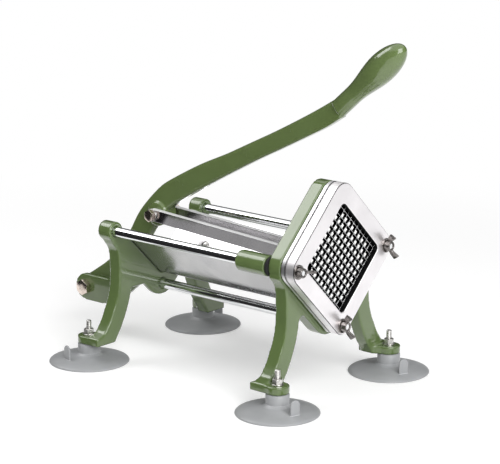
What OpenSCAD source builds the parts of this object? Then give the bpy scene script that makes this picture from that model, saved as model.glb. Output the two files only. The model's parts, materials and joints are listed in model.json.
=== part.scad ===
/* [Bed] */
// Distance between the two castings, which is the bed's length
bed_len = 180; // [150:5:240]
// Height of the cutting head's centre above the table
head_z = 118; // [112:1:150]
// Thickness of the bed's bent sheet
sheet_t = 1; // [0.8:0.1:1.6]
// Inner radius of the bed's bottom bend
bend_r = 5; // [4:0.5:7]
// Diameter of the round screw heads in the bed
bed_screw_d = 7.5; // [6:0.5:9]

/* [Cutting head] */
// Side of the square opening
opening = 69; // [60:1:80]
// Width of the frame round the opening
border = 15.2; // [14:0.2:20]
// Corner radius of the head's outline at the top and sides
corner_r = 14; // [9:0.5:16]
// Corner radius of the head's outline at the bottom
low_corner_r = 9; // [7:0.5:12]
// Corner radius of the opening
opening_r = 5; // [3:0.5:6]
// Number of blades in each direction, the middle one on the centre
blade_count = 11; // [7:2:13]
// Depth of each casting along the rods
casting_t = 12.5; // [10:0.5:16]
// Thickness of the plate behind the blades
carrier_t = 5.5; // [4:0.5:8]
// Thickness of the face plate that holds the blades
plate_t = 9.5; // [9:0.5:13]
// Thickness of a blade
blade_t = 0.6; // [0.4:0.1:0.8]
// Depth of a blade, front edge to back edge
blade_h = 6.2; // [5:0.2:8.4]
// How far a blade's ends reach past the opening
blade_seat = 4; // [3:0.5:5]

/* [Guide rods] */
// Diameter of the three rods
rod_d = 9; // [8:0.5:10]
// Diameter of the threaded front ends
stud_d = 5; // [4:0.5:6]
// How far the threaded ends stand out of the face plate
stud_out = 5.2; // [4:0.2:8]
// Depth of the rod sockets in the rear casting
socket = 8; // [5:0.5:9]
// Depth of the lower rod's socket
tab_socket = 2; // [1:0.5:3]
// Diameter of the screw heads behind the rods
rod_screw_d = 9; // [7:0.5:10]

/* [Wing nuts] */
// Diameter of a wing nut's hub
hub_d = 9.4; // [8.5:0.1:11]
// Length of a wing nut's hub
hub_h = 5; // [4:0.5:7]
// Span over both wings
wing_span = 22.5; // [18:0.5:26]
// How far the wings stand in front of the hub's base
wing_rise = 8.5; // [7:0.5:11]
// Thickness of a wing
wing_t = 1.8; // [1.4:0.2:2.4]
// Diameter of the flat washers
washer_d = 12.4; // [11:0.2:15]
// Thickness of the flat washers
washer_t = 1; // [0.8:0.1:1.6]

/* [Castings] */
// Width of a leg
leg_w = 17; // [14:0.5:20]
// Thickness of a foot pad
pad_t = 7; // [5:0.5:9]
// Radius of a foot pad's round end
pad_r = 10; // [8:0.5:13]
// Sideways distance of each foot from the middle
foot_x = 75; // [70:1:90]
// Distance of each foot past the bed's end
foot_out = 19.5; // [18:0.5:26]
// How far the front pads reach behind their legs
pad_heel = 3; // [1:0.5:5]
// Diameter of the rod bosses on the rear casting
boss_d = 17; // [15:0.5:20]
// Length of the rod bosses
boss_len = 14.5; // [13:0.5:18]
// Thickness of the rear casting's web
web_t = 5.4; // [4:0.2:7]
// How far the web reaches below the bed's vertex
web_drop = 6.2; // [5:0.2:8]
// Radius of the fillets where a leg meets its frame
fillet_r = 5; // [3:0.5:7]

/* [Suction cups] */
// Diameter of a suction cup
cup_d = 71; // [60:1:80]
// Height of a suction cup
cup_h = 17.4; // [15:0.2:22]
// Diameter of a cup's neck
neck_d = 20; // [17:0.5:24]
// Thickness of a cup's rim
rim_t = 1.2; // [1:0.1:2]
// Width of a cup's pull tab
tab_w = 9; // [6:0.5:12]
// Diameter of the stud in a cup
foot_stud_d = 5; // [4:0.5:6]
// How far the stud stands above its pad
foot_stud_out = 13; // [9:0.5:16]
// Width across flats of the foot nuts
foot_nut_af = 8; // [7:0.5:10]
// Height of the foot nuts
foot_nut_h = 4.4; // [3:0.2:6]
// Diameter of the foot washers
foot_washer_d = 10.5; // [9:0.5:13]

/* [Pusher] */
// Diameter of the sleeves on the rods
sleeve_d = 18; // [15:0.5:20]
// Length of the sleeves
sleeve_len = 32.5; // [28:0.5:50]
// Chamfer on a sleeve's rear end
sleeve_chamfer = 2; // [1:0.5:3]
// Thickness of the rubber rings in front of the sleeves
ring_t = 2; // [1.5:0.5:2.5]
// Gap between a rubber ring and its sleeve
ring_gap = 1; // [0.5:0.5:1.5]
// Thickness of the carriage's plate
carriage_t = 5; // [4:0.5:6]
// Thickness of the push block's base
block_t = 11; // [8:0.5:12]
// Side of a square peg
peg = 4.6; // [4:0.1:4.7]
// Length of a peg
peg_len = 12.8; // [9:0.2:14]
// Wall of the ear round the link pin's notch
ear_wall = 3.8; // [3:0.2:5]
// Diameter of the screws that hold the block
block_screw_d = 4; // [3:0.5:5]

/* [Linkage] */
// Distance of the lever's pivot behind the bed's end
pivot_back = 88; // [84:1:100]
// Height of the lever's pivot above the table
pivot_z = 42.3; // [38:0.5:46]
// Distance of the link bolt in front of the pivot
bolt_ahead = 88; // [84:1:92]
// Height of the link bolt above the pivot
bolt_up = 82.2; // [80:0.2:86]
// Distance of the link pin behind the head
pin_back = 19; // [18:0.5:22]
// Distance of the link pin below the head's centre
pin_drop = 2.5; // [1.5:0.5:3.5]
// Thickness of a link bar
bar_t = 5; // [4:0.5:6]
// Width of a link bar
bar_w = 11; // [11:0.5:13]
// Diameter of the pivot bolt
pivot_d = 8; // [7:0.5:9]
// Diameter of the link bolt
link_d = 6; // [5:0.5:7]
// Diameter of the link pin
pin_d = 8; // [7:0.5:8.5]
// Radius of the rear lugs round the pivot
lug_r = 12.3; // [12:0.3:14]
// Thickness of a rear lug
lug_t = 5.6; // [4:0.2:7]

/* [Lever] */
// Thickness of the lever
lever_t = 10; // [8:0.5:12]
// Width of the lever at its lower bend
lever_w = 20; // [17:0.5:22]
// Bevel along the lever's edges
lever_bevel = 1.4; // [0.8:0.2:2]
// Reach of the lever from the link bolt to the grip
arm_ahead = 202; // [180:1:230]
// Rise of the lever from the link bolt to the grip
arm_up = 120.5; // [100:0.5:140]
// Width of the boss that the link bars lie against
link_boss_w = 16; // [14:0.5:18]
// Radius of the link boss and of the pivot eye
eye_r = 11; // [9.5:0.5:12]
// Diameter of the lever's round neck
grip_neck_d = 16; // [14:0.5:18]
// Diameter of the grip
grip_d = 24.8; // [22:0.2:30]
// Length of the grip from neck to tip
grip_len = 86.8; // [75:0.2:100]
// Slope of the grip above the level
grip_slope = 41.5; // [35:0.5:50]

/* [Clearances] */
// Running clearance round a pin, rod or bolt
run_gap = 0.05; // [0.02:0.01:0.08]
// Clearance between blade and slot
blade_gap = 0.05; // [0.03:0.01:0.08]
// Side play between links, lever and lugs
play = 0.1; // [0.05:0.05:0.3]
// Gap between the lever and each lug
lug_gap = 0.4; // [0.2:0.1:0.8]
// Clearance between the pusher and the bed
bed_gap = 1; // [0.8:0.1:1.4]
// Clearance round the link pin in its open notch
notch_gap = 1.2; // [1:0.1:1.5]

/* [Hidden] */
$fn = 64;
mesh_fn = 32;
// one overrun for every cut
over = 0.5;

// head: a square that stands on its corner
head_side = opening + 2 * border;
half_diag = opening / sqrt(2);
vertex_z = head_z - half_diag;
rod_in_share = 0.452;
rod_reach = (opening / 2 + border * rod_in_share) * sqrt(2);
rods = [[-rod_reach, head_z], [rod_reach, head_z], [0, head_z - rod_reach]];
pitch = opening / blade_count;
head_radii = [corner_r, corner_r, low_corner_r, corner_r];
opening_radii = [opening_r, opening_r, opening_r, opening_r];
block_radii = [bend_r, bend_r, bend_r, bend_r];
blade_len = opening + 2 * blade_seat;

// grip profile, along its own axis from the neck
grip_straight_share = 0.21;
grip_swell_share = 0.67;
grip_end = grip_len * (1 - grip_swell_share);
tip_reach = sqrt(pow(grip_end * cos(grip_slope), 2) + pow(grip_d / 2 * sin(grip_slope), 2));

// places along the rods, with the origin in the middle of the whole length
rear_reach = bed_len / 2 + pivot_back + lug_r;
front_reach = arm_ahead + bolt_ahead - pivot_back - bed_len / 2
    + grip_len * grip_swell_share * cos(grip_slope) + tip_reach;
bed_y = (front_reach - rear_reach) / 2;
front_y = bed_y - bed_len / 2;
rear_y = bed_y + bed_len / 2;
carrier_y = front_y - casting_t;
plate_y = carrier_y - carrier_t;
face_y = plate_y - plate_t;
pivot_y = rear_y + pivot_back;
bolt_y = pivot_y - bolt_ahead;
bolt_z = pivot_z + bolt_up;
pin_y = front_y + pin_back;
pin_z = head_z - pin_drop;
neck_y = bolt_y - arm_ahead;
neck_z = bolt_z + arm_up;

// pusher
block_y = front_y + ring_t;
sleeve_y = front_y + ring_t + ring_gap;
carriage_y = block_y + carriage_t;
block_side = opening - pitch + peg;
pegs_side = (blade_count - 2) * pitch + peg;
pin_lug_w = link_boss_w - 2 * play;

// linkage, from the middle outwards
bar_x = link_boss_w / 2 + play;
link_washer_x = bar_x + bar_t + play;
lug_x = lever_t / 2 + lug_gap;
lug_out = lug_x + lug_t;

// feet
pad_z = cup_h + pad_t;
foot_spots = [[-foot_x, front_y - foot_out], [foot_x, front_y - foot_out],
    [-foot_x, rear_y + foot_out], [foot_x, rear_y + foot_out]];
pad_out = pad_r * 0.9;
pad_in = pad_r * 1.4;
pad_root = pad_r * 1.84;

// a smooth curve through the points p, with n steps between two of them
function bend(a, b, c, d, t) = 0.5 * (2 * b + (c - a) * t
    + (2 * a - 5 * b + 4 * c - d) * t * t + (3 * b - a - 3 * c + d) * t * t * t);
function smooth(p, n) = let (m = len(p) - 1)
    concat([for (i = [0 : m - 1]) for (k = [0 : n - 1])
        bend(p[max(i - 1, 0)], p[i], p[i + 1], p[min(i + 2, m)], k / n)], [p[m]]);
function unit(v) = v / norm(v);

// legs: height from pad to head centre, sway from knee to foot, half width
leg_shares = [[0.883, 0.168, 1.14], [0.829, 0.08, 0.97], [0.765, 0.036, 0.94],
    [0.7, 0.01, 0.94], [0.594, 0, 0.94], [0.508, 0, 0.97], [0.444, 0.025, 0.98],
    [0.37, 0.071, 1], [0.295, 0.154, 1.02], [0.231, 0.25, 1.06], [0.135, 0.4, 1.09],
    [0.038, 0.61, 1.19]];
knee_share = 0.803;
knee_x = rod_reach * knee_share;
leg_mid = [for (s = leg_shares) [knee_x + s[1] * (foot_x - knee_x),
    pad_z + s[0] * (head_z - pad_z), s[2] * leg_w / 2]];
leg_line = smooth(leg_mid, 3);
leg_last = len(leg_line) - 1;

// lever: places from pivot to link bolt, from link bolt to neck, and half widths
low_shares = [[0.177, 0.129], [0.352, 0.265], [0.526, 0.468], [0.68, 0.674],
    [0.83, 0.919]];
high_shares = [[0.032, 0.126], [0.116, 0.219], [0.271, 0.361], [0.415, 0.48],
    [0.551, 0.596], [0.692, 0.713], [0.827, 0.83], [0.921, 0.915], [1, 0.996]];
width_shares = [1.06, 1, 1, 1, 1.02, 1.06, 1.06, 1.04, 0.98, 0.85, 0.8, 0.79, 0.81,
    0.83, 0.8];
lever_mid = concat([[pivot_y, pivot_z]],
    [for (s = low_shares) [pivot_y - s[0] * bolt_ahead, pivot_z + s[1] * bolt_up]],
    [for (s = high_shares) [bolt_y - s[0] * arm_ahead, bolt_z + s[1] * arm_up]]);
lever_line = smooth([for (i = [0 : len(lever_mid) - 1])
    [lever_mid[i][0], lever_mid[i][1], width_shares[i] * lever_w / 2]], 4);
lever_last = len(lever_line) - 1;

// an outline drawn in x and z, with its front end at y and its depth going back
module slab(y, depth) {
    translate([0, y + depth, 0]) rotate([90, 0, 0]) linear_extrude(depth) children();
}

// a round bar along y, from y backwards
module y_bar(x, z, y, length, d) {
    translate([x, y, z]) rotate([-90, 0, 0]) cylinder(h = length, d = d);
}

// a round bar along x, from x to the right
module x_bar(x, y, z, length, d) {
    translate([x, y, z]) rotate([0, 90, 0]) cylinder(h = length, d = d);
}

// an outline drawn in y and z, extruded to the right from x
module side_slab(x, width) {
    translate([x, 0, 0]) rotate([90, 0, 90]) linear_extrude(width) children();
}

module both_sides() {
    children();
    mirror([1, 0, 0]) children();
}

// a square on its corner, with the radii of its top, left, bottom and right corners
module diamond(side, radii) {
    n = mesh_fn / 4;
    translate([0, head_z]) rotate(45) polygon([for (i = [0 : 3]) for (k = [0 : n])
        (side / 2 - radii[i]) * sqrt(2) * [cos(90 * i + 45), sin(90 * i + 45)]
        + radii[i] * [cos(90 * (i + k / n)), sin(90 * (i + k / n))]]);
}

// fills inner corners with a radius
module eased(r) {
    offset(r = -r, $fn = mesh_fn) offset(delta = r) children();
}

// right leg, with the side of its foot pad
module leg_outline() {
    polygon(concat(
        [for (i = [0 : leg_last]) [leg_line[i][0] + leg_line[i][2], leg_line[i][1]]],
        [[foot_x + pad_out, pad_z], [foot_x + pad_out, cup_h],
            [foot_x - pad_in, cup_h], [foot_x - pad_root, pad_z]],
        [for (i = [leg_last : -1 : 0]) [leg_line[i][0] - leg_line[i][2], leg_line[i][1]]]));
}

// right foot pad in plan, with its leg towards negative y
module pad_outline(heel) {
    back = -foot_out - heel;
    circle(pad_r);
    polygon([[pad_r * 0.95, 0], [pad_out, -foot_out + casting_t], [pad_out, back],
        [-pad_in, back], [-pad_in, -foot_out + casting_t], [-pad_r * 0.95, 0]]);
}

// both foot pads of one casting
module pads(y, turn, heel) {
    both_sides() translate([foot_x, y, cup_h]) mirror([0, turn, 0])
        linear_extrude(pad_t) pad_outline(heel);
}

// bottom of a casting round the lower rod
module tab_outline() {
    z = head_z - rod_reach + tab_r / 2;
    translate([0, z]) circle(tab_r);
    polygon([[-tab_r / sqrt(2), z - tab_r / sqrt(2)], [tab_r / sqrt(2), z - tab_r / sqrt(2)],
        tab_end, [0, vertex_z], [-tab_end[0], tab_end[1]]]);
}

module pad_holes(y) {
    both_sides() translate([foot_x, y, cup_h - over])
        cylinder(h = pad_t + 2 * over, d = foot_stud_d + 2 * run_gap);
}

module front_head() {
    color("olivedrab") difference() {
        union() {
            slab(carrier_y, casting_t) eased(fillet_r) {
                diamond(head_side, head_radii);
                tab_outline();
                both_sides() leg_outline();
            }
            pads(front_y - foot_out, 1, pad_heel);
        }
        slab(carrier_y - over, casting_t + 2 * over) diamond(opening, opening_radii);
        for (p = rods)
            y_bar(p[0], p[1], carrier_y - over, casting_t + 2 * over, stud_d + 2 * run_gap);
        pad_holes(front_y - foot_out);
    }
}

module head_plate(y, depth) {
    difference() {
        slab(y, depth) diamond(head_side, head_radii);
        slab(y - over, depth + 2 * over) diamond(opening, opening_radii);
        for (p = rods)
            y_bar(p[0], p[1], y - over, depth + 2 * over, stud_d + 2 * run_gap);
    }
}

module blade_carrier() {
    color("silver") head_plate(plate_y, carrier_t);
}

// one row of strips side by side, turned about the head's centre
module strips(turn, count, length, thick, y, depth) {
    translate([0, y, head_z]) rotate([0, turn, 0])
        for (i = [0 : count - 1])
            translate([-length / 2, 0, (i - (count - 1) / 2) * pitch - thick / 2])
                cube([length, depth, thick]);
}

module front_plate() {
    color("gainsboro") difference() {
        head_plate(face_y, plate_t);
        for (turn = [-45, 45])
            strips(turn, blade_count, blade_len + 2 * blade_gap, blade_t + 2 * blade_gap,
                plate_y - blade_h - blade_gap, blade_h + blade_gap + over);
    }
}

// blades with half laps, cut from the front or from the back
module blade_set(turn, lap_y) {
    difference() {
        strips(turn, blade_count, blade_len, blade_t, plate_y - blade_h, blade_h);
        strips(-turn, blade_count, blade_len + 2 * over, blade_t + 2 * blade_gap, lap_y,
            blade_h / 2 + over + blade_gap);
    }
}

module blades_rising() {
    color("lightgray") blade_set(-45, plate_y - blade_h - over);
}

module blades_falling() {
    color("lightgray") blade_set(45, plate_y - blade_h / 2 - blade_gap);
}

rod_screw_bore_share = 0.45;
rod_screw_shank = rod_screw_d * rod_screw_bore_share;
rod_screw_head_share = 0.3;
rod_screw_head = rod_screw_d * rod_screw_head_share;

// rod with its thinner threaded front end and a tapped rear end
module rod(p, depth) {
    end_y = rear_y + depth;
    difference() {
        union() {
            y_bar(p[0], p[1], front_y, end_y - front_y, rod_d);
            y_bar(p[0], p[1], face_y - stud_out, front_y - face_y + stud_out + stud_d,
                stud_d);
        }
        y_bar(p[0], p[1], end_y - rod_d, rod_d + over, rod_screw_shank + 2 * run_gap);
    }
}

module left_rod() {
    color("lightsteelblue") rod(rods[0], socket);
}

module right_rod() {
    color("lightsteelblue") rod(rods[1], socket);
}

module lower_rod() {
    color("lightsteelblue") rod(rods[2], tab_socket);
}

// slotted cheese-head screw from y forwards
module rod_screw(p, y, end_y) {
    difference() {
        union() {
            y_bar(p[0], p[1], y, rod_screw_head, rod_screw_d);
            y_bar(p[0], p[1], end_y - rod_d * 0.9,
                y - end_y + rod_d * 0.9 + rod_screw_head * 0.3, rod_screw_shank);
        }
        translate([p[0] - rod_screw_d, y + rod_screw_head * 0.5, p[1] - rod_screw_d / 14])
            cube([2 * rod_screw_d, rod_screw_head, rod_screw_d / 7]);
    }
}

module rod_end_screws() {
    color("silver") {
        for (i = [0, 1]) rod_screw(rods[i], rear_y + boss_len, rear_y + socket);
        rod_screw(rods[2], rear_y + web_t, rear_y + tab_socket);
    }
}

module wing_nut_washers() {
    color("silver") for (p = rods) difference() {
        y_bar(p[0], p[1], face_y - washer_t, washer_t, washer_d);
        y_bar(p[0], p[1], face_y - washer_t - over, washer_t + 2 * over,
            stud_d + 2 * run_gap);
    }
}

// wing nut with its base at the origin and its wings going up
module wing_nut() {
    tip_r = wing_span * 0.13;
    difference() {
        union() {
            cylinder(h = hub_h, d1 = hub_d, d2 = hub_d * 0.86);
            for (side = [0, 180]) rotate([90, 0, side])
                translate([0, 0, -wing_t / 2]) linear_extrude(wing_t) {
                    translate([wing_span / 2 - tip_r, wing_rise - tip_r]) circle(tip_r);
                    polygon([[hub_d * 0.3, hub_h * 0.1], [hub_d * 0.5, hub_h * 0.1],
                        [wing_span / 2 - tip_r * 0.35, wing_rise - tip_r * 1.94],
                        [wing_span / 2 - tip_r * 1.5, wing_rise - tip_r * 0.14],
                        [hub_d * 0.42, hub_h * 0.9], [hub_d * 0.3, hub_h * 0.9]]);
                }
        }
        translate([0, 0, -over])
            cylinder(h = wing_rise + 2 * over, d = stud_d + 2 * run_gap);
    }
}

module placed_nut(p, turn) {
    color("gainsboro") translate([p[0], face_y - washer_t, p[1]])
        rotate([90, turn, 0]) wing_nut();
}

module wing_nut_left() {
    placed_nut(rods[0], 0);
}

module wing_nut_right() {
    placed_nut(rods[1], 90);
}

module wing_nut_lower() {
    placed_nut(rods[2], 90);
}

module bumper_rings() {
    color("dimgray") for (i = [0, 1]) difference() {
        y_bar(rods[i][0], rods[i][1], front_y, ring_t, sleeve_d);
        y_bar(rods[i][0], rods[i][1], front_y - over, ring_t + 2 * over,
            rod_d + 2 * run_gap);
    }
}

web_low = vertex_z - web_drop;
tab_r_share = 0.42;
tab_end_shares = [0.77, 0.18];
tab_r = half_diag * tab_r_share;
tab_end = [tab_end_shares[0] * half_diag, vertex_z + tab_end_shares[1] * half_diag];

// rear casting seen from the front, without its V opening
module rear_outline() {
    both_sides() {
        leg_outline();
        translate([rod_reach, head_z]) circle(d = boss_d);
        polygon([[rod_reach + boss_d / 2, head_z], [leg_line[0][0] + leg_line[0][2],
            leg_line[0][1]], [leg_line[0][0] - leg_line[0][2], leg_line[0][1]],
            [half_diag, head_z]]);
    }
}

// thin web between the legs, down to the lower rod
module web_outline() {
    polygon([[-knee_x, web_low], [knee_x, web_low], [knee_x, vertex_z + knee_x],
        [0, vertex_z], [-knee_x, vertex_z + knee_x]]);
    tab_outline();
}

// right-hand lug that carries the lever's pivot
module lug_outline() {
    low = pivot_z - lug_r;
    polygon([[rear_y + web_t / 2, web_low],
        [rear_y + pivot_back * 0.205, low + (web_low - low) * 0.98],
        [rear_y + pivot_back * 0.31, low + (web_low - low) * 0.82],
        [rear_y + pivot_back * 0.66, low + lug_r * 0.12],
        [rear_y + pivot_back * 0.74, low], [pivot_y, low], [pivot_y, pivot_z + lug_r],
        [rear_y + pivot_back * 0.68, pivot_z + lug_r],
        [rear_y + pivot_back * 0.56, pivot_z + lug_r * 1.14],
        [rear_y + web_t / 2, vertex_z]]);
    translate([pivot_y, pivot_z]) circle(lug_r);
}

module rear_frame() {
    color("olivedrab") difference() {
        union() {
            slab(rear_y, casting_t) eased(fillet_r) rear_outline();
            slab(rear_y, web_t) web_outline();
            both_sides() {
                y_bar(rod_reach, head_z, rear_y, boss_len, boss_d);
                side_slab(lug_x, lug_t) lug_outline();
            }
            pads(rear_y + foot_out, 0, 0);
        }
        slab(rear_y - over, casting_t + 2 * over) bed_space();
        for (i = [0, 1]) {
            y_bar(rods[i][0], rods[i][1], rear_y - over, socket + over, rod_d + 2 * run_gap);
            y_bar(rods[i][0], rods[i][1], rear_y, boss_len + over,
                rod_screw_shank + 2 * run_gap);
        }
        y_bar(0, head_z - rod_reach, rear_y - over, tab_socket + over, rod_d + 2 * run_gap);
        y_bar(0, head_z - rod_reach, rear_y, casting_t + over, rod_screw_shank + 2 * run_gap);
        x_bar(-lug_out - over, pivot_y, pivot_z, 2 * lug_out + 2 * over,
            pivot_d + 2 * run_gap);
        pad_holes(rear_y + foot_out);
    }
}

wall_top_share = 0.943;
wall_len = half_diag * wall_top_share * sqrt(2) - bend_r;
bed_screw_back_share = 0.16;
bed_screw_up_share = 0.52;
bed_screw_y = rear_y - bed_len * bed_screw_back_share;
bed_screw_s = opening * bed_screw_up_share;

// one face of the bent sheet: wall, bend of radius r, wall, from right to left or back
function sheet_side(r, way) = concat(
    [wall_len * [way, 1] / sqrt(2) + r * [way, -1] / sqrt(2)],
    [for (i = [0 : mesh_fn / 2]) let (a = -90 + way * 45 * (1 - 4 * i / mesh_fn))
        r * [cos(a), sin(a)]],
    [wall_len * [-way, 1] / sqrt(2) + r * [-way, -1] / sqrt(2)]);

// everything above the sheet's outer face
module bed_space() {
    side = half_diag + sheet_t;
    low = side - (bend_r + sheet_t) * sqrt(2);
    translate([0, vertex_z + bend_r * sqrt(2)]) polygon(concat([[side, low]],
        sheet_side(bend_r + sheet_t, 1), [[-side, low], [-side, head_z], [side, head_z]]));
}

module trough() {
    color("silver") difference() {
        slab(front_y, bed_len + casting_t) translate([0, vertex_z + bend_r * sqrt(2)])
            polygon(concat(sheet_side(bend_r + sheet_t, 1), sheet_side(bend_r, -1)));
        on_wall() translate([0, 0, -sheet_t - over])
            cylinder(h = sheet_t + 2 * over, d = bed_screw_d / 2 + 2 * run_gap);
    }
}

// the frame of a screw in the right wall, with z into the bed
module on_wall() {
    translate([0, bed_screw_y, vertex_z]) rotate([0, -45, 0])
        translate([bed_screw_s, 0, 0]) children();
}

// round-headed screw with its washer-faced nut under the sheet
module round_screw() {
    head_h = bed_screw_d * 0.22;
    nut_h = bed_screw_d * 0.36;
    shank = sheet_t + nut_h * 1.3;
    intersection() {
        cylinder(h = head_h, d = bed_screw_d);
        translate([0, 0, head_h - bed_screw_d]) sphere(bed_screw_d);
    }
    translate([0, 0, -shank]) cylinder(h = shank, d = bed_screw_d / 2);
    translate([0, 0, -sheet_t - nut_h]) cylinder(h = nut_h, d = bed_screw_d, $fn = 6);
}

module bed_screw() {
    color("silver") on_wall() round_screw();
}

plate_top_share = 0.5;
notch_lean = 28;
pin_lug_r = pin_d / 2 + notch_gap + ear_wall;
block_screw_shares = [[0.26, -0.06], [0.13, -0.22]];
block_screws_at = [for (s = block_screw_shares) for (side = [-1, 1])
    [side * s[0] * head_side, head_z + s[1] * head_side]];

// carriage plate that fits in the bed and bridges to the sleeves
module carriage_outline() {
    clear = bed_gap * sqrt(2);
    arm_z = head_z - half_diag * (1 - wall_top_share) + sheet_t + clear;
    top_z = head_z + sleeve_d * 0.4;
    both_sides() polygon([[0, vertex_z + clear + bend_r * 0.42],
        [bend_r * 0.42, vertex_z + clear + bend_r * 0.42],
        [arm_z - vertex_z - clear, arm_z], [rod_reach, arm_z], [rod_reach, top_z],
        [rod_reach - sleeve_d / 2, top_z], [pin_lug_w, top_z + pin_d / 2 + play],
        [0, top_z + pin_d / 2 + play]]);
}

// ear for the link pin, seen from the side
module pin_lug_outline() {
    translate([pin_y, pin_z]) circle(pin_lug_r);
    polygon([[block_y + carriage_t / 2, pin_z - 3 * pin_lug_r],
        [pin_y + pin_lug_r * 0.6, pin_z - pin_lug_r * 0.7],
        [pin_y + pin_lug_r * 0.6, pin_z + pin_lug_r * 0.6],
        [block_y + carriage_t / 2, pin_z + pin_lug_r * 0.6]]);
}

// open notch for the link pin, leaning forwards
module notch_outline() {
    r = pin_d / 2 + notch_gap;
    way = [-sin(notch_lean), cos(notch_lean)];
    side = [cos(notch_lean), sin(notch_lean)];
    polygon(concat(half_round([pin_y, pin_z], r, notch_lean - 90),
        [[pin_y, pin_z] + 4 * r * way + r * side,
        [pin_y, pin_z] + 4 * r * way - r * side]));
}

module carriage() {
    color("olivedrab") difference() {
        union() {
            slab(block_y, carriage_t) carriage_outline();
            for (i = [0, 1]) {
                y_bar(rods[i][0], rods[i][1], sleeve_y, sleeve_len - sleeve_chamfer,
                    sleeve_d);
                translate([rods[i][0], sleeve_y + sleeve_len - sleeve_chamfer, rods[i][1]])
                    rotate([-90, 0, 0]) cylinder(h = sleeve_chamfer, d1 = sleeve_d,
                        d2 = sleeve_d - 2 * sleeve_chamfer);
            }
            side_slab(-pin_lug_w / 2, pin_lug_w) pin_lug_outline();
        }
        for (i = [0, 1])
            y_bar(rods[i][0], rods[i][1], block_y - over, sleeve_len + 2 * ring_gap
                + 2 * over, rod_d + 2 * run_gap);
        side_slab(-pin_lug_w, 2 * pin_lug_w) notch_outline();
        for (p = block_screws_at)
            y_bar(p[0], p[1], block_y - over, carriage_t + 2 * over,
                block_screw_d + 2 * run_gap);
    }
}

module push_block() {
    groove = pitch - peg;
    color("whitesmoke") difference() {
        union() {
            slab(block_y - block_t, block_t) diamond(block_side, block_radii);
            slab(block_y - block_t - peg_len, peg_len + block_t / 2)
                // Two crossed bars, so that each corner stays without its peg
                translate([0, head_z]) for (turn = [45, 135])
                    rotate(turn) square([pegs_side, (blade_count - 3) * pitch], center = true);
        }
        for (turn = [-45, 45])
            strips(turn, blade_count - 2, pegs_side + 2 * over, groove,
                block_y - block_t - peg_len - over, peg_len + over);
        for (p = block_screws_at)
            y_bar(p[0], p[1], block_y - block_t * 0.8, block_t * 0.8 + over,
                block_screw_d + 2 * run_gap);
    }
}

module block_screws() {
    head_h = block_screw_d * 0.6;
    color("silver") for (p = block_screws_at) difference() {
        union() {
            y_bar(p[0], p[1], carriage_y, head_h, block_screw_d * 1.75);
            y_bar(p[0], p[1], carriage_y - carriage_t - block_t * 0.75,
                carriage_t + block_t * 0.75 + head_h * 0.3, block_screw_d);
        }
        translate([p[0] - block_screw_d, carriage_y + head_h * 0.5, p[1]
            - block_screw_d / 8])
            cube([2 * block_screw_d, head_h, block_screw_d / 4]);
    }
}

function lever_along(i) = unit([for (k = [0, 1])
    lever_line[min(i + 1, lever_last)][k] - lever_line[max(i - 1, 0)][k]]);
function lever_ring(i) = let (c = lever_line[i], a = lever_along(i), n = [a[1], -a[0]],
    w = c[2], b = lever_bevel, h = lever_t / 2,
    s = [[h, b - w], [h, w - b], [h - b, w], [b - h, w], [-h, w - b], [-h, b - w],
        [b - h, -w], [h - b, -w]])
    [for (q = s) [q[0], c[0] + n[0] * q[1], c[1] + n[1] * q[1]]];

// the lever's bar, one bevelled section swept along its curve
module lever_bar() {
    m = 8;
    polyhedron(points = [for (i = [0 : lever_last]) each lever_ring(i)],
        faces = concat([[for (k = [0 : m - 1]) k]],
            [[for (k = [0 : m - 1]) lever_last * m + m - 1 - k]],
            [for (i = [0 : lever_last - 1]) for (k = [0 : m - 1]) each [
                [i * m + k, (i + 1) * m + k, i * m + (k + 1) % m],
                [(i + 1) * m + k, (i + 1) * m + (k + 1) % m, i * m + (k + 1) % m]]]));
}

// round grip that swells towards its end
module grip() {
    straight = grip_len * grip_straight_share;
    swell = grip_len * grip_swell_share;
    r0 = grip_neck_d / 2;
    r1 = grip_d / 2;
    steps = 10;
    rotate_extrude() polygon(concat([[0, 0], [r0, 0]],
        [for (i = [0 : steps]) [r0 + (r1 - r0) * (1 - cos(180 * i / steps)) / 2,
            straight + (swell - straight) * i / steps]],
        [for (i = [1 : steps]) [r1 * cos(90 * i / steps),
            swell + grip_end * sin(90 * i / steps)]]));
}

module lever() {
    color("darkolivegreen") difference() {
        union() {
            lever_bar();
            x_bar(-lever_t / 2, pivot_y, pivot_z, lever_t, 2 * eye_r);
            x_bar(-link_boss_w / 2, bolt_y, bolt_z, link_boss_w, 2 * eye_r);
            translate([0, neck_y, neck_z]) rotate([90 - grip_slope, 0, 0]) grip();
        }
        x_bar(-lever_t, pivot_y, pivot_z, 2 * lever_t, pivot_d + 2 * run_gap);
        x_bar(-link_boss_w, bolt_y, bolt_z, 2 * link_boss_w, link_d + 2 * run_gap);
    }
}

head_h_share = 0.62;
nut_h_share = 0.8;
hex_share = 1.62;

// hexagon with its flats level, from x to the right
module x_hex(x, y, z, length, af) {
    translate([x, y, z]) rotate([0, 90, 0]) cylinder(h = length, d = af / cos(30), $fn = 6);
}

module x_washer(x, y, z, thick, d, bore) {
    difference() {
        x_bar(x, y, z, thick, d);
        x_bar(x - over, y, z, thick + 2 * over, bore + 2 * run_gap);
    }
}

link_head = link_d * head_h_share;
link_nut_h = link_d * nut_h_share;
link_nut_x = link_washer_x + washer_t;

module link_bolt() {
    color("tan") {
        x_hex(-link_nut_x - link_head, bolt_y, bolt_z, link_head, link_d * hex_share);
        x_bar(-link_nut_x - link_head / 2, bolt_y, bolt_z,
            2 * link_nut_x + link_nut_h * 1.2 + link_head / 2, link_d);
    }
}

module link_nut() {
    color("tan") difference() {
        x_hex(link_nut_x, bolt_y, bolt_z, link_nut_h, link_d * hex_share);
        x_bar(link_nut_x - over, bolt_y, bolt_z, link_nut_h + 2 * over, link_d + 2 * run_gap);
    }
}

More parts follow.
